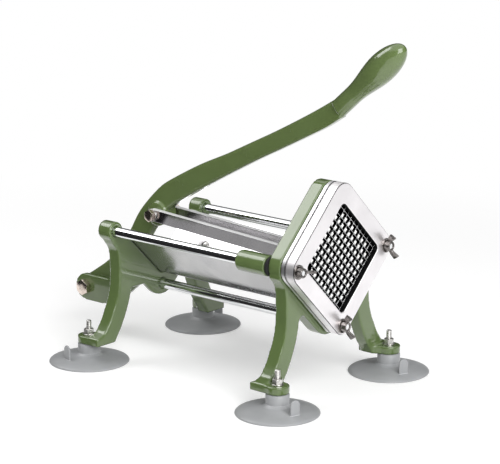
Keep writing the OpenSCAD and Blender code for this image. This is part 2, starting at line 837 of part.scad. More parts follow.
module link_washers() {
    color("silver") both_sides()
        x_washer(link_washer_x, bolt_y, bolt_z, washer_t, link_d * 1.95, link_d);
}

// a half round of radius r about c, whose middle points along the angle a
function half_round(c, r, a) = [for (i = [0 : mesh_fn / 2])
    c + r * [cos(a - 90 + 360 * i / mesh_fn), sin(a - 90 + 360 * i / mesh_fn)]];

// flat bar with round ends from the link pin to the link bolt
module link_bar(x) {
    lean = atan2(bolt_z - pin_z, bolt_y - pin_y);
    difference() {
        side_slab(x, bar_t) polygon(concat(half_round([bolt_y, bolt_z], bar_w / 2, lean),
            half_round([pin_y, pin_z], bar_w / 2, lean + 180)));
        x_bar(x - over, pin_y, pin_z, bar_t + 2 * over, pin_d + 2 * run_gap);
        x_bar(x - over, bolt_y, bolt_z, bar_t + 2 * over, link_d + 2 * run_gap);
    }
}

module left_link_bar() {
    color("gainsboro") link_bar(-bar_x - bar_t);
}

module right_link_bar() {
    color("gainsboro") link_bar(bar_x);
}

clip_t = bar_t * 0.2;
clip_x = bar_x + bar_t;
pin_out = clip_t * 2.4;

module link_pin() {
    color("silver") difference() {
        x_bar(-clip_x - pin_out, pin_y, pin_z, 2 * clip_x + 2 * pin_out, pin_d);
        both_sides() difference() {
            x_bar(clip_x, pin_y, pin_z, clip_t, pin_d + 2 * over);
            x_bar(clip_x - over, pin_y, pin_z, clip_t + 2 * over, pin_d * 0.8);
        }
    }
}

module link_pin_clips() {
    color("dimgray") both_sides() difference() {
        x_bar(clip_x, pin_y, pin_z, clip_t, pin_d * 1.4);
        x_bar(clip_x - over, pin_y, pin_z, clip_t + 2 * over, pin_d * 0.8 + 2 * run_gap);
        translate([clip_x - over, pin_y - pin_d * 0.2, pin_z])
            cube([clip_t + 2 * over, pin_d * 0.4, pin_d]);
    }
}

pivot_head = pivot_d * 0.68;
pivot_washer_t = pivot_d * 0.2;
pivot_nut_h = pivot_d * nut_h_share;
pivot_nut_x = lug_out + pivot_washer_t;

module pivot_bolt() {
    color("tan") {
        x_hex(-lug_out - pivot_head, pivot_y, pivot_z, pivot_head, pivot_d * hex_share);
        x_bar(-lug_out - pivot_head / 2, pivot_y, pivot_z,
            lug_out + pivot_nut_x + pivot_nut_h * 1.2 + pivot_head / 2, pivot_d);
    }
}

module pivot_washers() {
    color("silver")
        x_washer(lug_out, pivot_y, pivot_z, pivot_washer_t, pivot_d * 2, pivot_d);
}

module pivot_nut() {
    color("tan") difference() {
        x_hex(pivot_nut_x, pivot_y, pivot_z, pivot_nut_h, pivot_d * hex_share);
        x_bar(pivot_nut_x - over, pivot_y, pivot_z, pivot_nut_h + 2 * over,
            pivot_d + 2 * run_gap);
    }
}

// bell of a cup in half section: lip, dome, neck, then the hollow underside
rim_w_share = 0.11;
dome_shares = [[1, 0.07], [0.94, 0.15], [0.8, 0.235], [0.62, 0.3], [0.45, 0.35]];
hollow_shares = [[0.3, 0.2], [0.6, 0.14], [0.8, 0.07]];
stud_depth_share = 0.6;

// suction cup at a foot, with its pull tab at the given angle
module cup(i, turn, reach) {
    r = cup_d / 2;
    color("gray") translate([foot_spots[i][0], foot_spots[i][1], 0]) difference() {
        union() {
            rotate_extrude() polygon(concat([[0, cup_h], [neck_d / 2, cup_h],
                [neck_d / 2, cup_h * 0.42]],
                [for (k = [len(dome_shares) - 1 : -1 : 0])
                    [r * dome_shares[k][0], cup_h * dome_shares[k][1]]],
                [[r, 0], [r * (1 - rim_w_share), 0]],
                [for (k = [len(hollow_shares) - 1 : -1 : 0])
                    [r * hollow_shares[k][0], cup_h * hollow_shares[k][1]]],
                [[0, cup_h * 0.2]]));
            rotate([0, 0, turn]) translate([r * reach, 0, cup_h * 0.2])
                rotate([90, 0, 90]) linear_extrude(rim_t * 1.6) {
                    translate([-tab_w / 2, 0]) square([tab_w, cup_h * 0.55]);
                    translate([0, cup_h * 0.55]) circle(d = tab_w);
                }
        }
        translate([0, 0, cup_h * (1 - stud_depth_share)])
            cylinder(h = cup_h, d = foot_stud_d + 2 * run_gap);
    }
}

module cup_front_left() {
    cup(0, -104, 0.66);
}

module cup_front_right() {
    cup(1, -111, 0.66);
}

module cup_rear_left() {
    cup(2, 165, 0.6);
}

module cup_rear_right() {
    cup(3, 5, 0.66);
}

module cup_studs() {
    stud_z = cup_h * (1 - stud_depth_share);
    color("silver") for (p = foot_spots) translate([p[0], p[1], stud_z])
        cylinder(h = pad_z + foot_stud_out - stud_z, d = foot_stud_d);
}

module foot_washers() {
    color("silver") for (p = foot_spots) translate([p[0], p[1], pad_z]) difference() {
        cylinder(h = washer_t, d = foot_washer_d);
        translate([0, 0, -over])
            cylinder(h = washer_t + 2 * over, d = foot_stud_d + 2 * run_gap);
    }
}

module foot_nuts() {
    color("silver") for (p = foot_spots) translate([p[0], p[1], pad_z + washer_t])
        difference() {
            rotate([0, 0, 30]) cylinder(h = foot_nut_h, d = foot_nut_af / cos(30), $fn = 6);
            translate([0, 0, -over])
                cylinder(h = foot_nut_h + 2 * over, d = foot_stud_d + 2 * run_gap);
        }
}

front_head();
blade_carrier();
front_plate();
blades_rising();
blades_falling();
left_rod();
right_rod();
lower_rod();
rod_end_screws();
wing_nut_washers();
wing_nut_left();
wing_nut_right();
wing_nut_lower();
bumper_rings();
rear_frame();
trough();
bed_screw();
carriage();
push_block();
block_screws();
lever();
link_bolt();
link_nut();
link_washers();
left_link_bar();
right_link_bar();
link_pin();
link_pin_clips();
pivot_bolt();
pivot_washers();
pivot_nut();
cup_front_left();
cup_front_right();
cup_rear_left();
cup_rear_right();
cup_studs();
foot_washers();
foot_nuts();
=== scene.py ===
import json
import math

import bmesh
import bpy
from mathutils import Matrix, Vector


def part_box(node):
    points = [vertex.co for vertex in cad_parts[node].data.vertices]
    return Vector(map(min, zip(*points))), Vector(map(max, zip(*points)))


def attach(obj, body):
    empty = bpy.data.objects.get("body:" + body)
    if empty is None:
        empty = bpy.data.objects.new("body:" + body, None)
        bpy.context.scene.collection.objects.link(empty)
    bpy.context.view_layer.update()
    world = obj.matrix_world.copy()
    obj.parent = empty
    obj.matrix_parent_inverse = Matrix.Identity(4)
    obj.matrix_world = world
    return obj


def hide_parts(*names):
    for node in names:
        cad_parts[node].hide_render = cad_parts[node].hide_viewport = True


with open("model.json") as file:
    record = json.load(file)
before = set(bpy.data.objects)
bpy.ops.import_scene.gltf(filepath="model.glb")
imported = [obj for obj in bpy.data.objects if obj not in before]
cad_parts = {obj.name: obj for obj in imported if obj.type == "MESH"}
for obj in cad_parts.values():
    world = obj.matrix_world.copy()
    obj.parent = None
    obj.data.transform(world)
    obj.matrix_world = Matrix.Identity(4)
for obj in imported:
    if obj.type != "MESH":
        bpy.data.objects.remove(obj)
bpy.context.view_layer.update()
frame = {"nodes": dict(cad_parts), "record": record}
nodes = frame["nodes"]
scene = bpy.context.scene

# The camera stands to the front left, a little above the rods.
cameraView = {
    "azimuth": -48.98,
    "elevation": 14.08,
    "distance": 1.867,
    "target": (0, -0.02016, 0.1238),
    "lensPerWidth": 2162 / 500,
    "clip": (0.05, 30),
}


def addObject(name, data):
    made = bpy.data.objects.new(name, data)
    scene.collection.objects.link(made)
    return made


def placeCamera(v):
    a, e = math.radians(v["azimuth"]), math.radians(v["elevation"])
    back = Vector((math.sin(a) * math.cos(e), -math.cos(a) * math.cos(e), math.sin(e)))
    data = bpy.data.cameras.new("viewCamera")
    camera = addObject("viewCamera", data)
    camera.location = Vector(v["target"]) + back * v["distance"]
    camera.rotation_mode = "QUATERNION"
    camera.rotation_quaternion = (-back).to_track_quat("-Z", "Y")
    data.lens = data.sensor_width * v["lensPerWidth"]
    data.clip_start, data.clip_end = v["clip"]
    scene.camera = camera


placeCamera(cameraView)
scene.view_settings.view_transform = "Standard"
print("camera placed")

# Places and sizes that the part's source fixes, in millimetres.
layout = {
    "frontY": -95.8855,
    "carrierY": -108.3855,
    "plateY": -113.8855,
    "faceY": -123.3855,
    "headZ": 118,
    "opening": 69,
    "border": 15.2,
    "rodReach": 58.5066,
    "blades": 11,
    "footX": 75,
    "footFrontY": -115.3855,
    "footRearY": 103.6145,
    "padZ": 24.4,
    "ringThick": 2,
    "pin": (-76.8855, 115.5),
    "bolt": (84.1145, 124.5),
    "pivot": (172.1145, 42.3),
}
pitch = layout["opening"] / layout["blades"]
rodSpots = [(-layout["rodReach"], layout["headZ"]), (layout["rodReach"], layout["headZ"]),
    (0, layout["headZ"] - layout["rodReach"])]
footSpots = [(x, y) for y in (layout["footFrontY"], layout["footRearY"])
    for x in (-layout["footX"], layout["footX"])]


# Helpers for node trees.
def addNode(tree, kind, values=None, **settings):
    made = tree.nodes.new(kind)
    for name, value in settings.items():
        setattr(made, name, value)
    for name, value in (values or {}).items():
        made.inputs[name].default_value = value
    return made


def join(tree, source, target):
    tree.links.new(source, target)


def maths(tree, kind, first, second=None, third=None):
    made = addNode(tree, "ShaderNodeMath", operation=kind)
    for socket, value in zip(made.inputs, (first, second, third)):
        if isinstance(value, (int, float)):
            socket.default_value = value
        elif value is not None:
            join(tree, value, socket)
    return made.outputs[0]


def axes(tree, source):
    parts = tree.nodes.new("ShaderNodeSeparateXYZ")
    join(tree, source, parts.inputs[0])
    return parts.outputs


def objectPlace(tree):
    return tree.nodes.new("ShaderNodeTexCoord").outputs["Object"]


def newGroup(name, inputs, outputs):
    group = bpy.data.node_groups.new(name, "ShaderNodeTree")
    for label, kind, value in inputs:
        socket = group.interface.new_socket(label, in_out="INPUT", socket_type=kind)
        socket.default_value = value
    for label, kind in outputs:
        group.interface.new_socket(label, in_out="OUTPUT", socket_type=kind)
    return group, group.nodes.new("NodeGroupInput"), group.nodes.new("NodeGroupOutput")


def useGroup(tree, group, **values):
    made = tree.nodes.new("ShaderNodeGroup")
    made.node_tree = group
    for name, value in values.items():
        made.inputs[name].default_value = value
    return made


def ramp(tree, source, stops):
    made = tree.nodes.new("ShaderNodeValToRGB")
    join(tree, source, made.inputs["Fac"])
    points = made.color_ramp.elements
    while len(points) < len(stops):
        points.new(0.5)
    for point, (spot, colour) in zip(points, stops):
        point.position = spot
        point.color = (*colour, 1)
    return made.outputs["Color"]


def spread(tree, source, low, high, out=(0, 1)):
    made = addNode(tree, "ShaderNodeMapRange", {1: low, 2: high, 3: out[0], 4: out[1]})
    join(tree, source, made.inputs[0])
    return made.outputs[0]


# Effects that several materials share.
def makeCastSkin():
    # rippled, slightly pitted skin of paint over a sand casting
    g, src, out = newGroup("castSkin",
        [("Ripple", "NodeSocketFloat", 240), ("Cloud", "NodeSocketFloat", 22)],
        [("Tone", "NodeSocketFloat"), ("Height", "NodeSocketFloat")])
    at = objectPlace(g)
    fine = addNode(g, "ShaderNodeTexNoise", {"Detail": 3, "Roughness": 0.45})
    wide = addNode(g, "ShaderNodeTexNoise", {"Detail": 2, "Roughness": 0.5})
    lumps = addNode(g, "ShaderNodeTexNoise", {"Scale": 70, "Detail": 1})
    for n in (fine, wide, lumps):
        join(g, at, n.inputs["Vector"])
    join(g, src.outputs["Ripple"], fine.inputs["Scale"])
    join(g, src.outputs["Cloud"], wide.inputs["Scale"])
    join(g, spread(g, wide.outputs["Fac"], 0.3, 0.7), out.inputs["Tone"])
    join(g, maths(g, "MULTIPLY_ADD", fine.outputs["Fac"], 0.28, lumps.outputs["Fac"]),
        out.inputs["Height"])
    return g


def makeEdgeBand():
    # mask along edges, and a normal that rounds them
    g, src, out = newGroup("edgeBand", [("Radius", "NodeSocketFloat", 0.001)],
        [("Mask", "NodeSocketFloat"), ("Normal", "NodeSocketVector")])
    soft = addNode(g, "ShaderNodeBevel", samples=6)
    flat = g.nodes.new("ShaderNodeNewGeometry")
    dot = addNode(g, "ShaderNodeVectorMath", operation="DOT_PRODUCT")
    join(g, src.outputs["Radius"], soft.inputs["Radius"])
    join(g, soft.outputs["Normal"], dot.inputs[0])
    join(g, flat.outputs["Normal"], dot.inputs[1])
    join(g, spread(g, dot.outputs["Value"], 0.99, 0.8), out.inputs["Mask"])
    join(g, soft.outputs["Normal"], out.inputs["Normal"])
    return g


def makeGrain():
    # fine lines left by rolling, drawing or grinding
    g, src, out = newGroup("metalGrain", [("Stretch", "NodeSocketVector", (900, 12, 900))],
        [("Height", "NodeSocketFloat")])
    scale = addNode(g, "ShaderNodeVectorMath", operation="MULTIPLY")
    lines = addNode(g, "ShaderNodeTexNoise", {"Scale": 1, "Detail": 3, "Roughness": 0.6})
    join(g, objectPlace(g), scale.inputs[0])
    join(g, src.outputs["Stretch"], scale.inputs[1])
    join(g, scale.outputs[0], lines.inputs["Vector"])
    join(g, lines.outputs["Fac"], out.inputs["Height"])
    return g


def makeHandling():
    # cloudy wear from wiping and handling
    g, src, out = newGroup("handling", [("Size", "NodeSocketFloat", 30)],
        [("Mask", "NodeSocketFloat")])
    cloud = addNode(g, "ShaderNodeTexNoise", {"Detail": 5, "Roughness": 0.62, "Distortion": 0.6})
    join(g, objectPlace(g), cloud.inputs["Vector"])
    join(g, src.outputs["Size"], cloud.inputs["Scale"])
    join(g, spread(g, cloud.outputs["Fac"], 0.38, 0.68), out.inputs["Mask"])
    return g


def makeInsideHead():
    # mask of all that lies within a square on its corner round the head's middle
    g, src, out = newGroup("insideHead", [("Reach", "NodeSocketFloat", 0.0495)],
        [("Mask", "NodeSocketFloat")])
    at = axes(g, objectPlace(g))
    across = maths(g, "ABSOLUTE", at["X"])
    up = maths(g, "ABSOLUTE", maths(g, "SUBTRACT", at["Z"], layout["headZ"] / 1000))
    far = maths(g, "SUBTRACT", maths(g, "ADD", across, up), src.outputs["Reach"])
    join(g, spread(g, far, 0.0004, -0.0004), out.inputs["Mask"])
    return g


castSkin, edgeBand, metalGrain = makeCastSkin(), makeEdgeBand(), makeGrain()
handling, insideHead = makeHandling(), makeInsideHead()


def newMaterial(name, **sockets):
    material = bpy.data.materials.new(name)
    material.use_nodes = True
    shader = material.node_tree.nodes["Principled BSDF"]
    for socket, value in sockets.items():
        shader.inputs[socket.replace("_", " ")].default_value = value
    return material, material.node_tree, shader


def bump(tree, shader, height, strength, distance, normal):
    made = addNode(tree, "ShaderNodeBump", {"Strength": strength, "Distance": distance})
    join(tree, height, made.inputs["Height"])
    join(tree, normal, made.inputs["Normal"])
    join(tree, made.outputs["Normal"], shader.inputs["Normal"])


def mixColour(tree, mask, first, second):
    made = addNode(tree, "ShaderNodeMix", data_type="RGBA")
    join(tree, mask, made.inputs["Factor"])
    for socket, value in ((made.inputs[6], first), (made.inputs[7], second)):
        if isinstance(value, tuple):
            socket.default_value = (*value, 1)
        else:
            join(tree, value, socket)
    return made.outputs[2]


# In every finish, round and ground are metres, and ripple, patches, cloud and grain are the
# patterns' scales.
enamelLook = {"patches": 22, "cloud": 26, "round": 0.0009, "bump": 0.22, "bumpHigh": 0.0006}
enamels = {
    # each edge colour is a painted highlight, the paler colour given to the rounded edges
    "greenEnamel": {"deep": (0.094, 0.140, 0.046), "light": (0.110, 0.162, 0.056),
        "edge": (0.22, 0.29, 0.15), "rough": (0.16, 0.26), "ripple": 220, **enamelLook},
    # the lever's copy of the green enamel is a little lighter: painted light that lifts the
    # lever's shaded side
    "leverEnamel": {"deep": (0.104, 0.148, 0.048), "light": (0.120, 0.171, 0.060),
        "edge": (0.18, 0.24, 0.11), "rough": (0.18, 0.3), "ripple": 200, **enamelLook},
}


def makeEnamel(name, f):
    material, tree, shader = newMaterial(name, Coat_Weight=1, Coat_Roughness=0.05,
        Specular_IOR_Level=0.35)
    skin = useGroup(tree, castSkin, Ripple=f["ripple"], Cloud=f["patches"])
    edge = useGroup(tree, edgeBand, Radius=f["round"])
    wear = useGroup(tree, handling, Size=f["cloud"])
    base = mixColour(tree, skin.outputs["Tone"], f["deep"], f["light"])
    # painted highlight: the rounded edges take the paler edge colour
    paintedEdgeLight = mixColour(tree, edge.outputs["Mask"], base, f["edge"])
    join(tree, paintedEdgeLight, shader.inputs["Base Color"])
    join(tree, spread(tree, wear.outputs["Mask"], 0, 1, f["rough"]), shader.inputs["Roughness"])
    bump(tree, shader, skin.outputs["Height"], f["bump"], f["bumpHigh"], edge.outputs["Normal"])
    return material


# what the two plates of the head share
plateLook = {
    "grain": (300, 300, 300),
    "bump": 0.06,
    "round": 0.0004,
    "cloud": 24,
    # painted shade: rim darkens the plates' outer rims as shadow lines, inside darkens the walls
    # of the opening
    "rim": (0.02, 0.02, 0.02),
    "inside": (0.03, 0.03, 0.03),
    "innerReach": 0.053,
    "rimTurn": (0.45, 0.3),
    "wallTurn": (0.5, 0.3),
    "sideRough": 0.15,
}
metals = {
    "facePlate": {"colour": (0.98, 0.955, 0.97), "dim": (0.93, 0.905, 0.92), "rough": (0.34, 0.42),
        **plateLook},
    "carrierPlate": {"colour": (0.90, 0.895, 0.90), "dim": (0.82, 0.82, 0.83),
        "rough": (0.26, 0.36), **plateLook},
    "bladeSteel": {"colour": (0.94, 0.95, 0.96), "dim": (0.8, 0.81, 0.82), "rough": (0.2, 0.3),
        "grain": (120, 1500, 120), "bump": 0.15, "round": 0.0001, "cloud": 60,
        # the near-black colour behind the ground edge is painted shade inside the grid
        "ground": (0.00026, 0.00052), "bladeShade": (0.012, 0.012, 0.013)},
    "rodChrome": {"colour": (0.86, 0.87, 0.88), "dim": (0.80, 0.81, 0.83), "rough": (0.035, 0.07),
        "grain": (700, 14, 700), "bump": 0.02, "round": 0.0005, "cloud": 40},
    "bedSheet": {"colour": (0.70, 0.695, 0.70), "dim": (0.58, 0.575, 0.59), "rough": (0.14, 0.24),
        "grain": (700, 10, 700), "bump": 0.05, "round": 0.0005, "cloud": 16},
    "linkSteel": {"colour": (0.84, 0.84, 0.85), "dim": (0.74, 0.74, 0.75), "rough": (0.12, 0.22),
        "grain": (900, 16, 900), "bump": 0.03, "round": 0.0004, "cloud": 30,
        # painted shade on the flat sides, and a painted highlight on the upper faces, which are
        # made matt and less metallic
        "side": (0.40, 0.395, 0.40), "sideTurn": (0.7, 0.95), "upperTurn": (0.3, 0.7),
        "upperMatt": 0.75, "upperRough": 0.35},
    "wingNutMetal": {"colour": (0.30, 0.28, 0.27), "dim": (0.06, 0.055, 0.05),
        "rough": (0.12, 0.26), "grain": (260, 260, 260), "bump": 0.25, "round": 0.0004,
        "cloud": 120},
    "smallHardware": {"colour": (0.72, 0.71, 0.69), "dim": (0.52, 0.51, 0.49),
        "rough": (0.24, 0.36), "grain": (500, 500, 500), "bump": 0.1, "round": 0.0003,
        "cloud": 150},
    "boltNickel": {"colour": (0.82, 0.72, 0.65), "dim": (0.64, 0.53, 0.47), "rough": (0.14, 0.28),
        "grain": (700, 700, 700), "bump": 0.1, "round": 0.0004, "cloud": 110},
}
edgeHighlightGain = 1.1  # how much brighter the metals are along their edges
fineBump = 0.0003  # height in metres of the bumps on metal, plastic and rubber


def paintShadowRims(tree, base, rough, f):
    # painted shade: thin dark shadow lines on the rounded outer rims and dark walls in the
    # opening, and rougher sides
    facing = axes(tree, tree.nodes.new("ShaderNodeNewGeometry").outputs["Normal"])
    frontal = maths(tree, "ABSOLUTE", facing["Y"])
    aside = maths(tree, "SUBTRACT", 1, frontal)
    lean = maths(tree, "ABSOLUTE", maths(tree, "SUBTRACT", frontal, 0.5))
    near = useGroup(tree, insideHead, Reach=f["innerReach"]).outputs["Mask"]
    outer = maths(tree, "MULTIPLY", spread(tree, lean, *f["rimTurn"]),
        maths(tree, "SUBTRACT", 1, near))
    base = mixColour(tree, outer, base, f["rim"])
    walls = maths(tree, "MULTIPLY", spread(tree, frontal, *f["wallTurn"]),
        useGroup(tree, insideHead).outputs["Mask"])
    base = mixColour(tree, walls, base, f["inside"])
    return base, maths(tree, "MULTIPLY_ADD", aside, f["sideRough"], rough)


def groundTips(tree, base, f):
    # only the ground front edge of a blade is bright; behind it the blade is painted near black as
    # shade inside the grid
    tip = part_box("blades_rising")[0][1]
    start, end = f["ground"]
    paintedBladeShade = spread(tree, axes(tree, objectPlace(tree))["Y"], tip + start, tip + end)
    return mixColour(tree, paintedBladeShade, base, f["bladeShade"])


def shadeSidesLightTops(tree, shader, base, rough, f):
    # painted shade: darker flat sides; painted highlight: pale, matt, less metallic upper edges
    facing = axes(tree, tree.nodes.new("ShaderNodeNewGeometry").outputs["True Normal"])
    flat = spread(tree, maths(tree, "ABSOLUTE", facing["X"]), *f["sideTurn"])
    upper = spread(tree, facing["Z"], *f["upperTurn"])
    metallic = maths(tree, "MULTIPLY_ADD", upper, -f["upperMatt"], 1)
    join(tree, metallic, shader.inputs["Metallic"])
    base = mixColour(tree, flat, base, f["side"])
    return base, maths(tree, "MULTIPLY_ADD", upper, f["upperRough"], rough)


def makeMetal(name, f):
    material, tree, shader = newMaterial(name, Metallic=1)
    grain = useGroup(tree, metalGrain, Stretch=f["grain"])
    edge = useGroup(tree, edgeBand, Radius=f["round"])
    wear = useGroup(tree, handling, Size=f["cloud"])
    base = mixColour(tree, wear.outputs["Mask"], f["colour"], f["dim"])
    # painted highlight: the metals are made brighter along their rounded edges
    bright = tuple(min(1, c * edgeHighlightGain) for c in f["colour"])
    base = mixColour(tree, edge.outputs["Mask"], base, bright)
    rough = spread(tree, wear.outputs["Mask"], 0, 1, f["rough"])
    if "rim" in f:
        base, rough = paintShadowRims(tree, base, rough, f)
    if "ground" in f:
        base = groundTips(tree, base, f)
    if "side" in f:
        base, rough = shadeSidesLightTops(tree, shader, base, rough, f)
    join(tree, base, shader.inputs["Base Color"])
    join(tree, rough, shader.inputs["Roughness"])
    bump(tree, shader, grain.outputs["Height"], f["bump"], fineBump, edge.outputs["Normal"])
    return material


softLook = {"patches": 35, "cloud": 45}
softs = {
    "blockPlastic": {"colour": (0.97, 0.97, 0.96), "dim": (0.94, 0.94, 0.93),
        "edge": (0.95, 0.95, 0.95), "rough": (0.3, 0.42), "ripple": 900, "bump": 0.1,
        "round": 0.0003, **softLook},
    # the cup's much paler edge colour is a painted highlight on its rims
    "cupRubber": {"colour": (0.355, 0.362, 0.370), "dim": (0.30, 0.308, 0.317),
        "edge": (0.5425, 0.553, 0.565), "rough": (0.3, 0.46), "ripple": 1400, "bump": 0.12,
        "round": 0.0009, **softLook},
    "ringRubber": {"colour": (0.008, 0.008, 0.008), "dim": (0.012, 0.012, 0.012),
        "edge": (0.022, 0.022, 0.022), "rough": (0.7, 0.9), "ripple": 1400, "bump": 0.1,
        "round": 0.0001, **softLook},
}


def makeSoft(name, f):
    material, tree, shader = newMaterial(name, Specular_IOR_Level=0.4)
    skin = useGroup(tree, castSkin, Ripple=f["ripple"], Cloud=f["patches"])
    edge = useGroup(tree, edgeBand, Radius=f["round"])
    wear = useGroup(tree, handling, Size=f["cloud"])
    base = mixColour(tree, skin.outputs["Tone"], f["colour"], f["dim"])
    # painted highlight: the rims take the edge colour, which is paler on the rubber
    paintedEdgeLight = mixColour(tree, edge.outputs["Mask"], base, f["edge"])
    join(tree, paintedEdgeLight, shader.inputs["Base Color"])
    join(tree, spread(tree, wear.outputs["Mask"], 0, 1, f["rough"]), shader.inputs["Roughness"])
    bump(tree, shader, skin.outputs["Height"], f["bump"], fineBump, edge.outputs["Normal"])
    return material


finishes = {name: makeEnamel(name, f) for name, f in enamels.items()}
finishes.update({name: makeMetal(name, f) for name, f in metals.items()})
finishes.update({name: makeSoft(name, f) for name, f in softs.items()})
print("materials made:", len(finishes))

# The CAD nodes that each finish belongs to.
nodesOf = {
    "greenEnamel": ["front_head", "rear_frame", "carriage"],
    "leverEnamel": ["lever"],
    "facePlate": ["front_plate"],
    "carrierPlate": ["blade_carrier"],
    "bladeSteel": ["blades_rising", "blades_falling"],
    "rodChrome": ["left_rod", "right_rod", "lower_rod"],
    "bedSheet": ["trough"],
    "linkSteel": ["left_link_bar", "right_link_bar", "link_pin"],
    "wingNutMetal": ["wing_nut_left", "wing_nut_right", "wing_nut_lower", "wing_nut_washers"],
    "smallHardware": ["rod_end_screws", "bed_screw", "block_screws",
        "link_washers", "pivot_washers", "cup_studs", "foot_washers", "foot_nuts",
        "link_pin_clips"],
    "boltNickel": ["link_bolt", "link_nut", "pivot_bolt", "pivot_nut"],
    "blockPlastic": ["push_block"],
    "cupRubber": ["cup_front_left", "cup_front_right", "cup_rear_left", "cup_rear_right"],
    "ringRubber": ["bumper_rings"],
}
for finish, names in nodesOf.items():
    for name in names:
        slots = nodes[name].data.materials
        slots.clear()
        slots.append(finishes[finish])

slotOf = {finish: "".join("_" + c.lower() if c.isupper() else c for c in finish)
    for finish in finishes}
bodyOf = {name: body for body, names in frame["record"]["behaviour"]["bodies"].items()
    for name in names}
finishOf = {name: finish for finish, names in nodesOf.items() for name in names}


def place(pieceName, mesh, cadNode, sharp=35):
    # the finished piece takes over its node's body, finish and material slot
    finish = finishOf[cadNode]
    mesh.materials.clear()
    mesh.materials.append(finishes[finish])
    mesh.shade_smooth()
    mesh.set_sharp_from_angle(angle=math.radians(sharp))
    made = addObject(pieceName, mesh)
    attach(made, bodyOf[cadNode])
    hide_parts(cadNode)


def freeze(live):
    # the evaluated mesh, merged and facing outwards
    bpy.context.view_layer.update()
    graph = bpy.context.evaluated_depsgraph_get()
    mesh = bpy.data.meshes.new_from_object(live.evaluated_get(graph), depsgraph=graph)
    bpy.data.objects.remove(live)
    return cleaned(mesh)


def cleaned(mesh):
    b = bmesh.new()
    b.from_mesh(mesh)
    bmesh.ops.remove_doubles(b, verts=b.verts, dist=1e-6)
    bmesh.ops.recalc_face_normals(b, faces=b.faces)
    b.to_mesh(mesh)
    b.free()
    return mesh


def finishMesh(name, b):
    bmesh.ops.recalc_face_normals(b, faces=b.faces)
    mesh = bpy.data.meshes.new(name)
    b.to_mesh(mesh)
    b.free()
    return mesh


def bridge(b, low, above):
    # faces between two closed rows of as many points
    n = len(low)
    for k in range(n):
        b.faces.new((low[k], low[(k + 1) % n], above[(k + 1) % n], above[k]))


def merged(name, meshes):
    b = bmesh.new()
    for mesh in meshes:
        b.from_mesh(mesh)
    made = bpy.data.meshes.new(name)
    b.to_mesh(made)
    b.free()
    return made


# Castings with the soft edges of a foundry pattern.
castings = {
    "headCasting": {"node": "front_head", "voxel": 1.0, "rounds": 3},
    "rearCasting": {"node": "rear_frame", "voxel": 1.0, "rounds": 3},
    "carriageCasting": {"node": "carriage", "voxel": 0.8, "rounds": 3},
    "leverCasting": {"node": "lever", "voxel": 0.9, "rounds": 4},
}


def softened(name, solid, f):
    live = addObject(name + "Rough", solid)
    skin = live.modifiers.new("skin", "REMESH")
    skin.mode = "VOXEL"
    skin.voxel_size = f["voxel"] / 1000
    smooth = live.modifiers.new("smooth", "SMOOTH")
    smooth.factor = 0.5
    smooth.iterations = f["rounds"]
    mesh = freeze(live)
    print(name, len(mesh.polygons), "faces")
    return mesh


def makeCasting(name, f):
    solid = cleaned(nodes[f["node"]].data.copy())
    place(name, softened(name, solid, f), f["node"], sharp=180)


for castName, castFacts in castings.items():
    makeCasting(castName, castFacts)


# Flat plates and bars with rounded edges, from outlines with their holes.
def arc(centre, radius, start, end, steps=24):
    turns = [math.radians(start + (end - start) * i / steps) for i in range(steps + 1)]
    return [(centre[0] + radius * math.cos(a), centre[1] + radius * math.sin(a)) for a in turns]


def circle(centre, radius, steps=40):
    return arc(centre, radius, 0, 360 - 360 / steps, steps - 1)


def diamond(side, radii, centre):
    # a square on its corner, with radii at the top, left, bottom and right
    line = []
    for k, r in enumerate(radii):
        way = math.radians(90 + 90 * k)
        reach = side / math.sqrt(2) - r * math.sqrt(2)
        corner = (centre[0] + math.cos(way) * reach, centre[1] + math.sin(way) * reach)
        line += arc(corner, r, 45 + 90 * k, 135 + 90 * k, steps=16)
    return line


def plateMesh(name, outlines, low, high, edge, turn):
    # outlines lie in the local plane, and the plate reaches from low to high along local z
    curve = bpy.data.curves.new(name, "CURVE")
    curve.dimensions = "2D"
    curve.fill_mode = "BOTH"
    curve.extrude = ((high - low) / 2 - edge) / 1000
    curve.bevel_depth = edge / 1000
    curve.offset = -edge / 1000
    curve.bevel_resolution = 3
    for outline in outlines:
        spline = curve.splines.new("POLY")
        spline.points.add(len(outline) - 1)
        for point, (u, v) in zip(spline.points, outline):
            point.co = (u / 1000, v / 1000, 0, 1)
        spline.use_cyclic_u = True
    mesh = freeze(addObject(name, curve))
    mesh.transform(turn @ Matrix.Translation((0, 0, (high + low) / 2 / 1000)))
    return cleaned(mesh)


# from the outline's plane to the head's plane, and to the link bars' plane
toHead = Matrix(((1, 0, 0, 0), (0, 0, 1, 0), (0, 1, 0, 0), (0, 0, 0, 1)))
toSide = Matrix(((0, 0, 1, 0), (1, 0, 0, 0), (0, 1, 0, 0), (0, 0, 0, 1)))
headCentre = (0, layout["headZ"])
headPlates = {
    "corners": (14, 14, 9, 14),
    "openingCorners": (5, 5, 5, 5),
    "rodHole": 5.2,
    "plates": {
        "bladeCarrierPlate": {"node": "blade_carrier", "front": layout["plateY"] + 0.3,
            "back": layout["carrierY"] - 0.9, "edge": 0.6},
        "facePlateRing": {"node": "front_plate", "front": layout["faceY"],
            "back": layout["plateY"] - 0.1, "edge": 0.7},
    },
}


def makeHeadPlate(name, plate, f):
    side = layout["opening"] + 2 * layout["border"]
    lines = [diamond(side, f["corners"], headCentre),
        diamond(layout["opening"], f["openingCorners"], headCentre)]
    lines += [circle(spot, f["rodHole"] / 2) for spot in rodSpots]
    mesh = plateMesh(name, lines, plate["front"], plate["back"], plate["edge"], toHead)
    place(name, mesh, plate["node"], sharp=10)


for plateName, plateFacts in headPlates["plates"].items():
    makeHeadPlate(plateName, plateFacts, headPlates)

